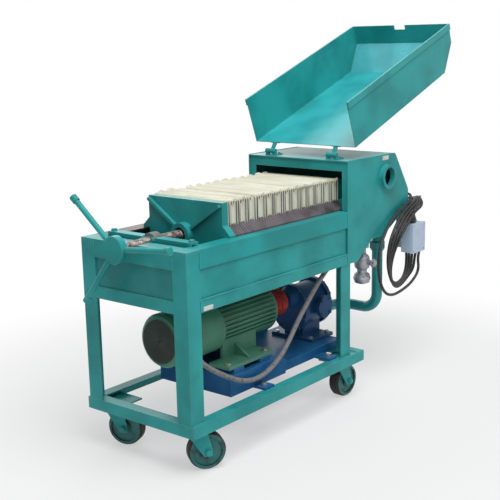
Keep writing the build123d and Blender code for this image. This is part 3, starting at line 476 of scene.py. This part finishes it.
# Filter pack. Ribbed iron plates and frames hang by their ears on the top rails, with a sheet of
# thick filter paper in every joint. The papers stand proud, flop over the plates, and are oil stained.
PACK_FACE = 291.3
PACK_END = 955.0
PAIRS = 26
PAPER_T = 2.2
PLATE_SIDE = 170.0
PLATE_CROWN = 884.0
EAR_TOP = 808.0
PAPER_SEED = 7
CORNER_RUN = 8.0
LIP_START = 0.4
LIP_THICKNESS = 0.0011
TOP_LIP, TOP_DRIFT, TOP_SPREAD = 9.6, 1.4, (-2, 2.5)
TOP_LEAN, LEAN_DRIFT, LEAN_SHARES = 60, 12, [0.28, 0.72]
FLAP_EVERY, FLAP_MISSES = 4, 0.15
FLAP, STUB = (22, 31), (1.0, 2.5)
FLAP_LEAN = -86.0


def paper_stock(name):
    """Cream paper: each sheet a little different along X, with yellow stains of oil."""
    def make(s):
        spot = s.spot()
        sheet = s.noise(spot, 70.0, 2.0, (1.0, 0.03, 0.03))
        stain = s.noise(spot, 16.0, 5.0, (1.0, 0.5, 0.8)).step(0.42, 0.72)
        tone = sheet.step(0.3, 0.7).mix((0.76, 0.75, 0.61), (0.89, 0.89, 0.76))
        tone = (stain * 0.30).mix(tone, (0.56, 0.50, 0.30))
        return tone, 0.82 - stain * 0.25, 0.0, s.noise(spot, 700.0, 3.0), 0.0003
    return finish(name, make)


def ramp(rise, run):
    """0 while the rise is below nothing, 1 once it passes the run, straight between them."""
    return np.clip(rise / run, 0.0, 1.0)


def paper_lips():
    """Lip of every sheet: a path up one side, over the top and down the other, swept outward along an
    arc that leans forward or back, by a lean and a length that drift along the path and between sheets.
    Down the sides a lip is a short stub, but nearly every fourth one is a wide flap folded flat."""
    rng = np.random.default_rng(PAPER_SEED)
    sheets = 2 * PAIRS + 1
    start = np.linspace(PACK_FACE, PACK_END - PAPER_T, sheets)
    u = np.linspace(0.0, 1.0, 120)
    v = np.linspace(0.0, 1.0, 6)
    rise = PLATE_CROWN - EAR_TOP
    total = 2 * rise + 2 * PLATE_SIDE
    run = u * total
    side_y = np.clip(run - rise, 0.0, 2 * PLATE_SIDE) - PLATE_SIDE
    side_z = EAR_TOP + np.minimum(np.minimum(run, total - run), rise)
    on_top = ramp(np.minimum(run - rise, total - rise - run) + CORNER_RUN, 2 * CORNER_RUN)
    out_y = np.sign(side_y) * np.cos(on_top * np.pi / 2)
    out_z = np.sin(on_top * np.pi / 2)
    drift = sum(
        rng.normal(0, 1, (sheets, 1))
        * np.sin((2 + n) * np.pi * u + rng.uniform(0, 6.3, (sheets, 1)))
        / (1 + n)
        for n in range(4)
    )
    lean = np.radians(rng.choice([-1, 1], (sheets, 1), p=LEAN_SHARES) * (TOP_LEAN + LEAN_DRIFT * drift))
    holds = rng.random((sheets, 1)) > FLAP_MISSES
    folded = holds & (np.arange(sheets)[:, None] % FLAP_EVERY == FLAP_EVERY - 1)
    flap = np.where(folded, rng.uniform(*FLAP, (sheets, 1)), rng.uniform(*STUB, (sheets, 1)))
    lean = lean * on_top + (1 - on_top) * np.radians(FLAP_LEAN - 2 * drift)
    crown = TOP_LIP + TOP_DRIFT * drift + rng.uniform(*TOP_SPREAD, (sheets, 1))
    length = crown * on_top + (1 - on_top) * (flap + drift)
    angle = lean[..., None] * v ** (0.1 + 0.6 * on_top[:, None])
    steps = length[..., None] * np.diff(v, prepend=0.0)
    reach = np.cumsum(steps * np.cos(angle), -1) + LIP_START
    slide = np.cumsum(steps * np.sin(angle), -1)
    x = start[:, None, None] + PAPER_T / 2 + slide
    y = side_y[None, :, None] + reach * out_y[None, :, None]
    z = side_z[None, :, None] + reach * out_z[None, :, None]
    return row(np.stack([x, y, z], -1))


cream_paper = paper_stock("filter_paper_stock")
plate_iron = cast_iron("oily_plate_iron", (0.135, 0.115, 0.130), rough=0.46, grease=0.6)
dress(plate_iron, "filter_plates", "filter_frames")
dress(cream_paper, "filter_papers")
lips = piece("paper_lips", paper_lips(), "machine", cream_paper, sharp=1.2)
thicken = lips.modifiers.new("sheet", "SOLIDIFY")
thicken.thickness = LIP_THICKNESS
thicken.offset = 0.0


# Press plate, screw and handwheel. A ribbed iron plate is pushed by a square-cut thread that runs in
# a boss cup; a hub with three bar spokes turns it. Plate and wheel are painted, the thread is bare.
SCREW_R = 18.0
SCREW_ROOT = 15.4
SCREW_START, SCREW_END = -56.0, 258.7
PLAIN_START, PLAIN_END = 20.0, 30.0
RUN_OUT = 4.0
PITCH = 8.0
LAND, FLANK = 0.42, 0.16
AXIS_Z = 765.0


def worn_thread(name):
    """Bare steel, pinkish grey, under patches of dark grease."""
    def make(s):
        spot = s.spot()
        grease = s.noise(spot, 55.0, 5.0).step(0.4, 0.7)
        tone = grease.mix((0.52, 0.45, 0.44), (0.16, 0.12, 0.11))
        return tone, 0.30 + grease * 0.2, 0.9, s.noise(spot, 240.0, 3.0), 0.0002
    return finish(name, make)


def thread_rod():
    """Rod whose radius drops by a clipped triangle wave of x / pitch minus the turn, so the groove winds;
    the groove runs out before both ends."""
    x = np.linspace(SCREW_START, SCREW_END, 500)[:, None]
    v = np.linspace(0.0, 2 * np.pi, 40, endpoint=False)[None]
    phase = np.abs(((x / PITCH - v / (2 * np.pi)) % 1.0) - 0.5) * 2
    groove = ramp(phase - LAND, FLANK)
    cut = ramp(x - SCREW_START - PLAIN_START, RUN_OUT) * ramp(SCREW_END - PLAIN_END - x, RUN_OUT)
    radius = SCREW_R - (SCREW_R - SCREW_ROOT) * groove * cut
    radius = radius * np.where((x <= SCREW_START) | (x >= SCREW_END), 0.0, 1.0)
    grid = np.stack([x + 0 * v, radius * np.cos(v), AXIS_Z + radius * np.sin(v)], -1)
    return row(grid)[None]


dress(teal, "press_plate", "handwheel_hub", "handwheel_spokes")
screw = piece("screw_thread", thread_rod(), "screw", worn_thread("bare_thread"), wrap_v=True)
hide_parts("press_screw")


# Lid. A shallow tray of folded sheet, its corners welded inside and its rim turned out. Two straps
# bolted to its back run to the hinge pins, and it leans back on them when open.
LID_ANGLE = np.radians(159.7)
HINGE_X, HINGE_Z = 946.0, 983.0
LID_SEAM_Y, NOSE_SEAM_Y = 241.5, 241.0
LID_TOP_SEAM = ((161, 960), (911, 960))
LID_SLOPE_SEAM = ((68, 859), (161, 959.5))
LID_NOSE_SEAM = ((70, 778), (70, 855))
LID_BEAD = 1.8
STRAP_BOLTS = ((858, 892), (-164, -136, 136, 164), (967.5,))
STRAP_BOLT = 5.0


def open_lid(points):
    """Turns points of the closed lid about the hinge pin to where the open lid rests."""
    p = np.asarray(points, float)
    dx, dz = p[..., 0] - HINGE_X, p[..., 2] - HINGE_Z
    c, s = np.cos(LID_ANGLE), np.sin(LID_ANGLE)
    return np.stack([HINGE_X + c * dx + s * dz, p[..., 1], HINGE_Z - s * dx + c * dz], -1)


dress(teal, "lid_side_walls", "lid_end_wall", "lid_hinge_straps")
# The lid's top panel is a paler teal than the cart's: painted light on the open lid's up-turned floor.
lid_top_lit = enamel("lid_top_painted_light_enamel", (0.033, 0.460, 0.490), gloss=0.30, wear_and_highlight=0.6, dust=0.05, shine=0.45)
dress(lid_top_lit, "lid_top_panel")
# The lid's slope panel is paler still: a painted sheen where the light glances off it.
lid_slope_sheen = enamel("lid_slope_painted_sheen_enamel", (0.090, 0.520, 0.580), gloss=0.26, wear_and_highlight=0.6, dust=0.05, shine=0.6)
dress(lid_slope_sheen, "lid_slope_panel")
lid_seams = mirrored(LID_SEAM_Y, LID_TOP_SEAM) + mirrored(LID_SEAM_Y, LID_SLOPE_SEAM)
lid_seams += mirrored(NOSE_SEAM_Y, LID_NOSE_SEAM)
beads("lid_weld_beads", open_lid(lid_seams), LID_BEAD, "lid", teal)
strap_spots = open_lid(bolt_grid(*STRAP_BOLTS))
strap_face = open_lid(UP) - open_lid((0.0, 0.0, 0.0))
studs("strap_bolts", strap_spots, strap_face, STRAP_BOLT, "lid", teal, HEX_HEAD)


# Drive base. A bent and welded bed of steel plate in blue enamel, with packing blocks under the
# motor's feet. Its lugs are bolted down to the base rails.
LUG_BOLTS = ((440, 846), (-198, 198), (198,))
LUG_BOLT = 9.0
bed_blue = enamel("bed_blue_enamel", (0.010, 0.135, 0.350), gloss=0.36, wear_and_highlight=0.8, dust=0.10, shine=0.14)
dress(bed_blue, "drive_base")
studs("lug_bolts", bolt_grid(*LUG_BOLTS), UP, LUG_BOLT, "machine", plated, HEX_HEAD)


# Motor. A finned cast barrel in grey green, a drawn sheet cowl over the fan with a wire guard in its
# end, a terminal box on top and two long feet bolted through the packing.
REAR = (1.0, 0.0, 0.0)
SHAFT_Z = 408.0
COWL_X = 113.0
WIRE_R, WIRE_GAP, WIRE_OUT = 0.9, 4.6, 1.0
GUARD_HUB, GUARD_R = 9.0, 79.0
DISH_RINGS = (79.0, 77.0, 60.0, 30.0, 0.0)
DISH_OUT = (0.05, 0.5, 0.5, 0.5, 0.5)
FOOT_BOLTS = ((318, 525), (-134, 134), (294,))
FOOT_BOLT = 10.0
SHIELD_X, SHIELD_RING = 664.5, 84
SHIELD_BOLT = 5.0
RING_START = 0.4
BOX_SCREWS = ((375, 449), (-36, 36), (555,))
BOX_SCREW = 4.5
ROUND_HEAD = [
    (0, 0, 0), (1.0, 0, 0), (1.0, 0, 0.2), (0.9, 0, 0.42), (0.6, 0, 0.56), (0.3, 0, 0.46), (0, 0, 0.42),
]
moss = enamel("motor_green_enamel", (0.095, 0.300, 0.200), gloss=0.42, wear_and_highlight=0.7)
dress(moss, "motor_housing", "motor_fins", "motor_fan_cowl", "motor_terminal_box")


def guard_shade(name):
    """Painted shade inside the cowl: brown-black, in paler and darker blotches."""
    def make(s):
        spot = s.spot()
        soot = s.noise(spot, 60.0, 5.0)
        return soot.mix((0.010, 0.008, 0.006), (0.050, 0.036, 0.026)), 0.8, 0.0, soot, 0.0005
    return finish(name, make)


def guard_rings():
    """Wire rings of the fan guard: circles about the shaft, each a ring of small circles."""
    big = np.linspace(0.0, 2 * np.pi, 72, endpoint=False)[None, :, None]
    small = np.linspace(0.0, 2 * np.pi, 6, endpoint=False)[None, None]
    radius = np.arange(GUARD_HUB, GUARD_R, WIRE_GAP)[:, None, None]
    reach = radius + WIRE_R * np.cos(small)
    x = COWL_X - WIRE_OUT + WIRE_R * np.sin(small) + 0 * reach * big
    return row(np.stack([x, reach * np.cos(big), SHAFT_Z + reach * np.sin(big)], -1))


def guard_disc():
    """Shallow dish behind the guard wires that carries the painted shade of the cowl's inside: rings of
    falling radius closed at the middle.
    """
    v = np.linspace(0.0, 2 * np.pi, 48, endpoint=False)[None]
    r = np.array(DISH_RINGS)[:, None]
    x = COWL_X - np.array(DISH_OUT)[:, None] + 0 * v
    return row(np.stack([x, r * np.cos(v), SHAFT_Z + r * np.sin(v)], -1))[None]


def shaft_ring(x, z, radius, count, start):
    """Places around a line along X at height z: equal turns from a start angle, at one radius."""
    turn = np.arange(count) * 2 * np.pi / count + start
    return np.stack([np.full(count, x), radius * np.cos(turn), z + radius * np.sin(turn)], -1)


# A near-black dish behind the guard wires is painted shade.
piece("guard_shade_dish", guard_disc(), "machine", guard_shade("guard_painted_shade"), wrap_v=True)
guard_wire = enamel("guard_wire_enamel", (0.045, 0.075, 0.060), gloss=0.45, wear_and_highlight=0.6, dust=0.1)
piece("guard_rings", guard_rings(), "machine", guard_wire, wrap_u=True, wrap_v=True)
studs("motor_foot_bolts", bolt_grid(*FOOT_BOLTS), UP, FOOT_BOLT, "machine", plated, HEX_HEAD)
shield_spots = shaft_ring(SHIELD_X, SHAFT_Z, SHIELD_RING, 6, RING_START)
studs("shield_bolts", shield_spots, REAR, SHIELD_BOLT, "machine", moss, HEX_HEAD)
studs("terminal_screws", bolt_grid(*BOX_SCREWS), UP, BOX_SCREW, "machine", plated, ROUND_HEAD)


# Coupling. Two iron flanges in red enamel join the motor's shaft to the pump's. Six steel pins in
# rubber bushes pass through both of them and have a nut at either end.
PIN_X, PIN_SPAN, PIN_RING = 780.0, 72, 44
PIN_NUT = 6.0
red = enamel("coupling_red_enamel", (0.50, 0.022, 0.014), gloss=0.36, dust=0.1)
dress(red, "drive_coupling")
pins = shaft_ring(PIN_X, SHAFT_Z, PIN_RING, 6, RING_START)
studs("coupling_pins", pins, REAR, PIN_NUT, "drive_line", plated, HEX_HEAD)
studs("coupling_nuts", pins - [PIN_SPAN, 0, 0], FRONT, PIN_NUT, "drive_line", plated, HEX_HEAD)


# Gear pump. An oval iron casting in dark blue enamel between two covers, each held by a ring of bolts,
# with a flanged port on either side. Its feet are bolted down to the bed.
FAR = (0.0, 1.0, 0.0)
PUMP_Z = 360.0
COVER_X, COVER_SPAN = 860.0, 174
COVER_RING, COVER_STRETCH = 80.0, 13.0
COVER_BOLT = 5.5
FLANGE_X, FLANGE_Y, FLANGE_RING = 965, -108.0, 39
FLANGE_BOLT = 6.0
PUMP_FEET = ((890, 1004), (-84, 84), (240,))
PUMP_FOOT_BOLT = 8.0
navy = enamel("pump_blue_enamel", (0.014, 0.090, 0.250), wear_and_highlight=0.8, dust=0.12, shine=0.14)
dress(navy, "pump_body")
cover = shaft_ring(COVER_X, PUMP_Z, COVER_RING, 10, np.pi / 10)
cover[:, 2] += COVER_STRETCH * np.sign(cover[:, 2] - PUMP_Z)
studs("pump_front_bolts", cover, FRONT, COVER_BOLT, "machine", navy, HEX_HEAD)
studs("pump_rear_bolts", cover + [COVER_SPAN, 0, 0], REAR, COVER_BOLT, "machine", navy, HEX_HEAD)
flange = shaft_ring(FLANGE_Y, PUMP_Z, FLANGE_RING, 4, np.pi / 4)[:, [1, 0, 2]] + [FLANGE_X, 0, 0]
studs("pump_flange_bolts", flange, NEAR, FLANGE_BOLT, "machine", navy, HEX_HEAD)
studs("pump_far_bolts", flange * [1, -1, 1], FAR, FLANGE_BOLT, "machine", navy, HEX_HEAD)
studs("pump_foot_bolts", bolt_grid(*PUMP_FEET), UP, PUMP_FOOT_BOLT, "machine", plated, HEX_HEAD)


# Oil line. A bent steel pipe, painted with the cart, is bolted to the pump by a flange and rises to the
# belly of the head, with a hexagon union on the riser; a cast relief valve hangs beside it.
UNION_SPOT = (1226.0, -188.0, 560.0)
UNION_R = 31.0
UNION = [
    (0.72, 0, 0), (0.88, 0, 0), (0.88, 0, 0.25), (1.0, 1, 0.30),
    (1.0, 1, 1.15), (0.9, 0, 1.25), (0.72, 0, 1.25),
]
PIPE_FLANGE_X, PIPE_FLANGE_Z, PIPE_RING = 1058.0, 305, 40
PIPE_BOLT = 6.5
VALVE_HEX = [(0.6, 0, 0), (1.0, 1, 0.04), (1.0, 1, 0.5), (0.6, 0, 0.54)]
VALVE_HEX_SPOT, VALVE_HEX_R = (1112, -186, 590), 27.0
VALVE_CAP_SPOT, VALVE_CAP_R = (1112, -238, 530), 14.0
pipe_teal = enamel("pipe_teal_enamel", (0.028, 0.340, 0.345), gloss=0.26, wear_and_highlight=0.8, shine=0.35)
dress(pipe_teal, "delivery_pipe")
studs("pipe_union", [UNION_SPOT], UP, UNION_R, "machine", pipe_teal, UNION)
pipe_bolts = shaft_ring(PIPE_FLANGE_X, PIPE_FLANGE_Z, PIPE_RING, 4, np.pi / 4)
studs("pipe_flange_bolts", pipe_bolts, REAR, PIPE_BOLT, "machine", pipe_teal, HEX_HEAD)


def cast_alloy(name):
    """Satin cast alloy with a sandy skin and patches of brown grime."""
    def make(s):
        spot = s.spot()
        grain = s.noise(spot, 420.0, 3.0)
        grime = s.noise(spot, 48.0, 5.0).step(0.45, 0.72)
        return grime.mix((0.46, 0.46, 0.52), (0.20, 0.17, 0.16)), 0.42 + grime * 0.2, 0.55, grain, 0.0004
    return finish(name, make)


alloy = cast_alloy("satin_valve_alloy")
dress(alloy, "relief_valve")
studs("valve_hex", [VALVE_HEX_SPOT], UP, VALVE_HEX_R, "machine", alloy, VALVE_HEX)
studs("valve_cap", [VALVE_CAP_SPOT], NEAR, VALVE_CAP_R, "machine", alloy, HEX_HEAD)


# Switch box, bracket and hook. A moulded grey box is screwed to a plated bracket on the head's back;
# a bent rod above it carries the cable.
COVER_SCREWS = ((1358, 1442), (-288,), (542, 648))
COVER_SCREW = 4.5
FLUSH_HEAD = [(0, 0, 0), (1.0, 0, 0), (1.0, 0, 0.06), (0.9, 0, 0.11), (0.3, 0, 0.08), (0, 0, 0.05)]


def moulded(name, colour, rough=0.5):
    """Moulded plastic with a fine spark texture and a little handling grime."""
    def make(s):
        spot = s.spot()
        spark = s.noise(spot, 1200.0, 2.0)
        grime = s.noise(spot, 30.0, 5.0).step(0.48, 0.8) * 0.35
        return grime.mix(colour, tinted(colour, 0.55)), rough + grime * 0.2, 0.0, spark, 0.00015
    return finish(name, make)


dress(plated, "switch_bracket", "cable_hook", "conduit_fittings")
dress(moulded("switch_box_grey", (0.56, 0.68, 0.85)), "switch_box")
dress(moulded("gland_black", (0.020, 0.020, 0.022), rough=0.42), "box_gland", "cable_plug")
cover_spots = bolt_grid(*COVER_SCREWS)
studs("cover_screws", cover_spots, NEAR, COVER_SCREW, "machine", plated, FLUSH_HEAD)


# Cable. One black rubber lead goes from the gland up over the hook and hangs there in five loose
# turns of about a metre each, which fan out below; its plug hangs behind the box.
CABLE_R = 0.006
HOOK_TOP = 772.0
HANK_LOOP = np.array([
    (1308, -272, 735), (1232, -272, 704), (1163, -272, 655), (1108, -272, 600), (1092, -272, 532),
    (1104, -272, 464), (1142, -271, 410), (1200, -268, 388), (1266, -262, 392), (1332, -250, 404),
    (1390, -234, 436), (1422, -218, 490), (1433, -209, 552), (1430, -206, 624), (1420, -205, 696),
], float)
LEAD = [
    (1396, -252, 700), (1396, -252, 724), (1397, -251, 744),
    (1406, -239, 759), (1420, -219, 759), (1430, -206, 742),
]
PLUG_END = [
    (1366, -262, 756), (1388, -252, 772), (1400, -237, 778),
    (1402, -219, 777), (1402, -204, 762), (1402, -204, 752),
]
TURN_LEFT = (1178, 1202, 1226, 1250, 1092)
TURN_RIGHT = (1424, 1460, 1497, 1536, 1572)
TURN_BOTTOM = (418, 404, 396, 384, 378)
TURN_HOOK = (1430, 1443, 1456, 1469, 1481)
LOW_LANE = (6, 17, 28, 38, -6)
HIGH_LANE = (5, 1, -3, -8, 13)
HIGH_SINK = (-4, -12, -20, -28, 4)
BACK_Y, FRONT_RUN = -215, 35
SWING_TOP, SWING_RUN = 560, 100
PILE_FOOT, PILE_RUN = 600, 100
HANG_TOP, HANG_RUN = 700, 150
LANE_TOP, LANE_RUN = 610, 120
HOOK_FOLD = np.array([(-34, -262, 755), (-6, -238, 761), (3, -212, 743)], float)
FOLD_DRIFT = np.array([(0, -6, -8), (0, 0, 0), (0, 0, 0)], float)


def rubber(name, colour):
    """Matt rubber sheath with pale scuffs."""
    def make(s):
        spot = s.spot()
        scuff = s.noise(spot, 80.0, 5.0).step(0.5, 0.8)
        tone = scuff.mix(colour, (0.075, 0.072, 0.070))
        return tone, 0.50 + scuff * 0.2, 0.0, s.noise(spot, 500.0, 2.0), 0.0002
    return finish(name, make)


def smooth_line(name, points, radius, resolution):
    """Open curve: a NURBS spline of order three with these control points, drawn as a round tube."""
    curve = bpy.data.curves.new(name, "CURVE")
    curve.dimensions = "3D"
    spline = curve.splines.new("NURBS")
    spline.points.add(len(points) - 1)
    spline.points.foreach_set("co", np.c_[points, np.ones(len(points))].ravel())
    spline.order_u = 3
    spline.use_endpoint_u = True
    curve.resolution_u = resolution
    curve.bevel_depth = radius
    curve.bevel_resolution = 4
    curve.use_fill_caps = True
    made = bpy.data.objects.new(name, curve)
    bpy.context.scene.collection.objects.link(made)
    return made


def hank_turns():
    """Turns of the hank, each down its back and up its front: the loop's points are drawn out to the
    turn's left reach, right reach and bottom, laid apart in Y, and the next turn's fold over the hook
    follows beside the one before."""
    x0, y0, z0 = HANK_LOOP[::-1].T
    share = (x0 - x0.min()) / (x0.max() - x0.min())
    back = y0 > BACK_Y
    low = ramp(SWING_TOP - z0, SWING_RUN)
    high = ~back * ramp(z0 - PILE_FOOT, PILE_RUN)
    hang = np.where(back, ramp(HANG_TOP - z0, HANG_RUN), 1.0)
    apart = ramp(LANE_TOP - z0, LANE_RUN) * ramp(BACK_Y - y0, FRONT_RUN)
    turns = []
    for n, (left, right, bottom, hook) in enumerate(zip(TURN_LEFT, TURN_RIGHT, TURN_BOTTOM, TURN_HOOK)):
        if n:
            turns.append(HOOK_FOLD + [hook, 0, 0] + (n - 1) * FOLD_DRIFT)
        swing = np.where(back, 1.0, low * share ** 2) * (right - x0.max())
        x = hang * (left + share * (x0.max() - left) + swing) + (1 - hang) * hook
        y = y0 + apart * LOW_LANE[n] + high * HIGH_LANE[n]
        z = HOOK_TOP - (HOOK_TOP - z0) * (HOOK_TOP - bottom) / (HOOK_TOP - z0.min()) + high * HIGH_SINK[n]
        turns.append(np.stack([x, y, z], -1))
    return np.concatenate(turns)


sheath = rubber("black_cable_sheath", (0.012, 0.012, 0.013))
cable = smooth_line("mains_cable", row(np.concatenate([LEAD, hank_turns(), PLUG_END])), CABLE_R, 8)
cable.data.materials.append(sheath)
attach(cable, "machine")
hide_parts("cable_lead", "cable_coil")


# Conduit. Ribbed grey sleeve that carries the motor's wires: it leaves the terminal box, drops behind
# the near front leg, swings low past the bed and climbs to a fitting under the trough.
CONDUIT_R = 9.5
RIB_PITCH = 4.5
RIB_RIPPLE = 0.035
SLANT = (0.5, 0.6, 0.62)
CONDUIT_ROUTE = [
    (411, -64, 523), (410, -92, 523), (400, -124, 527), (376, -150, 535), (340, -164, 547),
    (296, -166, 558), (236, -162, 566), (150, -162, 556), (98, -174, 512), (84, -186, 442),
    (104, -190, 376), (170, -190, 328), (248, -190, 280), (326, -190, 242), (404, -190, 226),
    (482, -190, 239), (550, -190, 273), (606, -190, 322), (658, -191, 386), (720, -199, 456),
    (772, -214, 528), (836, -222, 577), (891, -222, 577),
]


def ribbed_sleeve(line):
    """Sleeve along a line: a circle whose radius ripples by 7 percent with the distance along it, turned
    by the cross product of the line's direction and a slant that the line never follows."""
    gap = np.r_[0.0, np.cumsum(np.linalg.norm(np.diff(line, axis=0), axis=1))]
    s = np.linspace(0.0, gap[-1], 1400)
    centre = np.stack([np.interp(s, gap, line[:, n]) for n in range(3)], -1)
    tangent = np.gradient(centre, axis=0)
    tangent /= np.linalg.norm(tangent, axis=1)[:, None]
    first = np.cross(tangent, SLANT)
    first /= np.linalg.norm(first, axis=1)[:, None]
    second = np.cross(tangent, first)
    v = np.linspace(0.0, 2 * np.pi, 14, endpoint=False)[None, :, None]
    ripple = np.cos(2 * np.pi * s * 1000 / RIB_PITCH)
    radius = CONDUIT_R / 1000 * (1 - RIB_RIPPLE + RIB_RIPPLE * ripple)
    radius[[0, -1]] = 0.0
    ring = np.cos(v) * first[:, None] + np.sin(v) * second[:, None]
    return (centre[:, None] + radius[:, None, None] * ring)[None], centre


guide = smooth_line("conduit_guide", row(CONDUIT_ROUTE), 0.0, 24)
traced = bpy.data.meshes.new_from_object(guide)
guide_line = np.array([v.co for v in traced.vertices], float)
bpy.data.objects.remove(guide)
sleeve_grid, sleeve_line = ribbed_sleeve(guide_line)
sleeve = piece("motor_conduit", sleeve_grid, "machine",
               rubber("grey_sleeve", (0.235, 0.230, 0.235)), wrap_v=True, sharp=1.0)
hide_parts("conduit")
sleeve_line[::4].tolist() + [sleeve_line[-1].tolist()]


# Floor and lights. A pale sheet floor takes a soft shadow and fades into a white room for the camera
# and the gloss. A large soft lamp hangs overhead, a little to the near front; a weak one stands behind.
FLOOR_HALF, FLOOR_CELLS = 9, 18
FLOOR_Z = -0.0005
FLOOR_FADE = (0.9, 2.0)
ROOM_LIGHT = 0.25


def whites(shade):
    """1 for rays that leave the camera, a mirror or glass, and 0 for rays that carry light."""
    seen, gloss, passed = (
        shade.node("ShaderNodeLightPath", (), (), ray)
        for ray in ("Is Camera Ray", "Is Glossy Ray", "Is Transmission Ray")
    )
    return shade.math("MAXIMUM", seen, shade.math("MAXIMUM", gloss, passed))


def studio_floor():
    """Pale matt sheet whose seen colour goes over to white: half way at the object, fully 2 m away."""
    made = bpy.data.materials.new("studio_floor")
    made.use_nodes = True
    tree = made.node_tree
    matt = tree.nodes["Principled BSDF"]
    matt.inputs["Base Color"].default_value = (0.86, 0.86, 0.86, 1.0)
    matt.inputs["Roughness"].default_value = 0.9
    shade = Shade(tree)
    length = shade.node("ShaderNodeVectorMath", {"operation": "LENGTH"}, {0: shade.spot()}, "Value")
    away = length.step(*FLOOR_FADE)
    white = shade.node("ShaderNodeEmission", (), {"Color": (1.0, 1.0, 1.0, 1.0), "Strength": 1.0})
    feeds = {0: whites(shade) * (away * 0.5 + 0.5), 1: Shade(tree, matt.outputs[0]), 2: white}
    seen = shade.node("ShaderNodeMixShader", (), feeds)
    tree.links.new(seen.socket, tree.nodes["Material Output"].inputs["Surface"])
    return made


side = np.linspace(-FLOOR_HALF, FLOOR_HALF, FLOOR_CELLS + 1)
u, v = np.meshgrid(side, side, indexing="ij")
floor_mesh = bpy.data.meshes.new("floor")
cell = np.arange(FLOOR_CELLS)
index = cell[:, None] * side.size + cell[None]
floor_quads = np.stack([index, index + side.size, index + side.size + 1, index + 1], -1).reshape(-1, 4)
floor_mesh.from_pydata(np.stack([u, v, FLOOR_Z + 0 * u], -1).reshape(-1, 3), [], floor_quads)
floor_mesh.materials.append(studio_floor())
floor = bpy.data.objects.new("floor", floor_mesh)
bpy.context.scene.collection.objects.link(floor)

world = bpy.data.worlds.new("white_room")
bpy.context.scene.world = world
world.use_nodes = True
room = Shade(world.node_tree)
sky = world.node_tree.nodes["Background"]
sky.inputs["Color"].default_value = (1.0, 1.0, 1.0, 1.0)
level = whites(room) * (1 - ROOM_LIGHT) + ROOM_LIGHT
world.node_tree.links.new(level.socket, sky.inputs["Strength"])


def softbox(name, place, aim, size, power):
    """Square lamp at a place, turned to face a point."""
    lamp = bpy.data.lights.new(name, "AREA")
    lamp.shape, lamp.size, lamp.energy = "SQUARE", size, power
    made = bpy.data.objects.new(name, lamp)
    back = np.subtract(place, aim)
    back /= np.linalg.norm(back)
    first, second = across(back)
    made.matrix_world = Matrix(np.r_[np.c_[first, second, back, place], [[0, 0, 0, 1]]].tolist())
    bpy.context.scene.collection.objects.link(made)


softbox("key_lamp", place=(-1.1, -1.7, 4.5), aim=(0.0, 0.0, 0.7), size=3.0, power=165.0)
softbox("back_lamp", place=(2.6, 2.8, 3.0), aim=(0.2, 0.0, 0.7), size=2.6, power=35.0)
bpy.context.scene.view_settings.view_transform = "Standard"


# Camera. It stands at the near front corner, a little lower than the top of the open lid, and looks
# slightly down. Its place, lens and shift come from a perspective fit to the object's straight edges.
YAW, PITCH_DOWN, ROLL = 0.6694, 0.2200, -0.0155
EYE = (-2149.2, -2269.8, 1401.5)
FOCAL, SENSOR = 69.225, 36.0
SHIFT_X, SHIFT_Y = -0.0342, 0.0212
lens = bpy.data.cameras.new("photo_camera")
lens.lens, lens.sensor_width = FOCAL, SENSOR
lens.shift_x, lens.shift_y = SHIFT_X, SHIFT_Y
lens.clip_end = 100.0
camera = bpy.data.objects.new("photo_camera", lens)
ahead = np.array([np.cos(YAW) * np.cos(PITCH_DOWN), np.sin(YAW) * np.cos(PITCH_DOWN), -np.sin(PITCH_DOWN)])
level_right = np.cross(ahead, (0.0, 0.0, 1.0))
level_right /= np.linalg.norm(level_right)
level_up = np.cross(level_right, ahead)
right = level_right * np.cos(ROLL) + level_up * np.sin(ROLL)
up = level_up * np.cos(ROLL) - level_right * np.sin(ROLL)
camera.matrix_world = Matrix(np.r_[np.c_[right, up, -ahead, row(EYE)], [[0, 0, 0, 1]]].tolist())
bpy.context.scene.collection.objects.link(camera)
bpy.context.scene.camera = camera
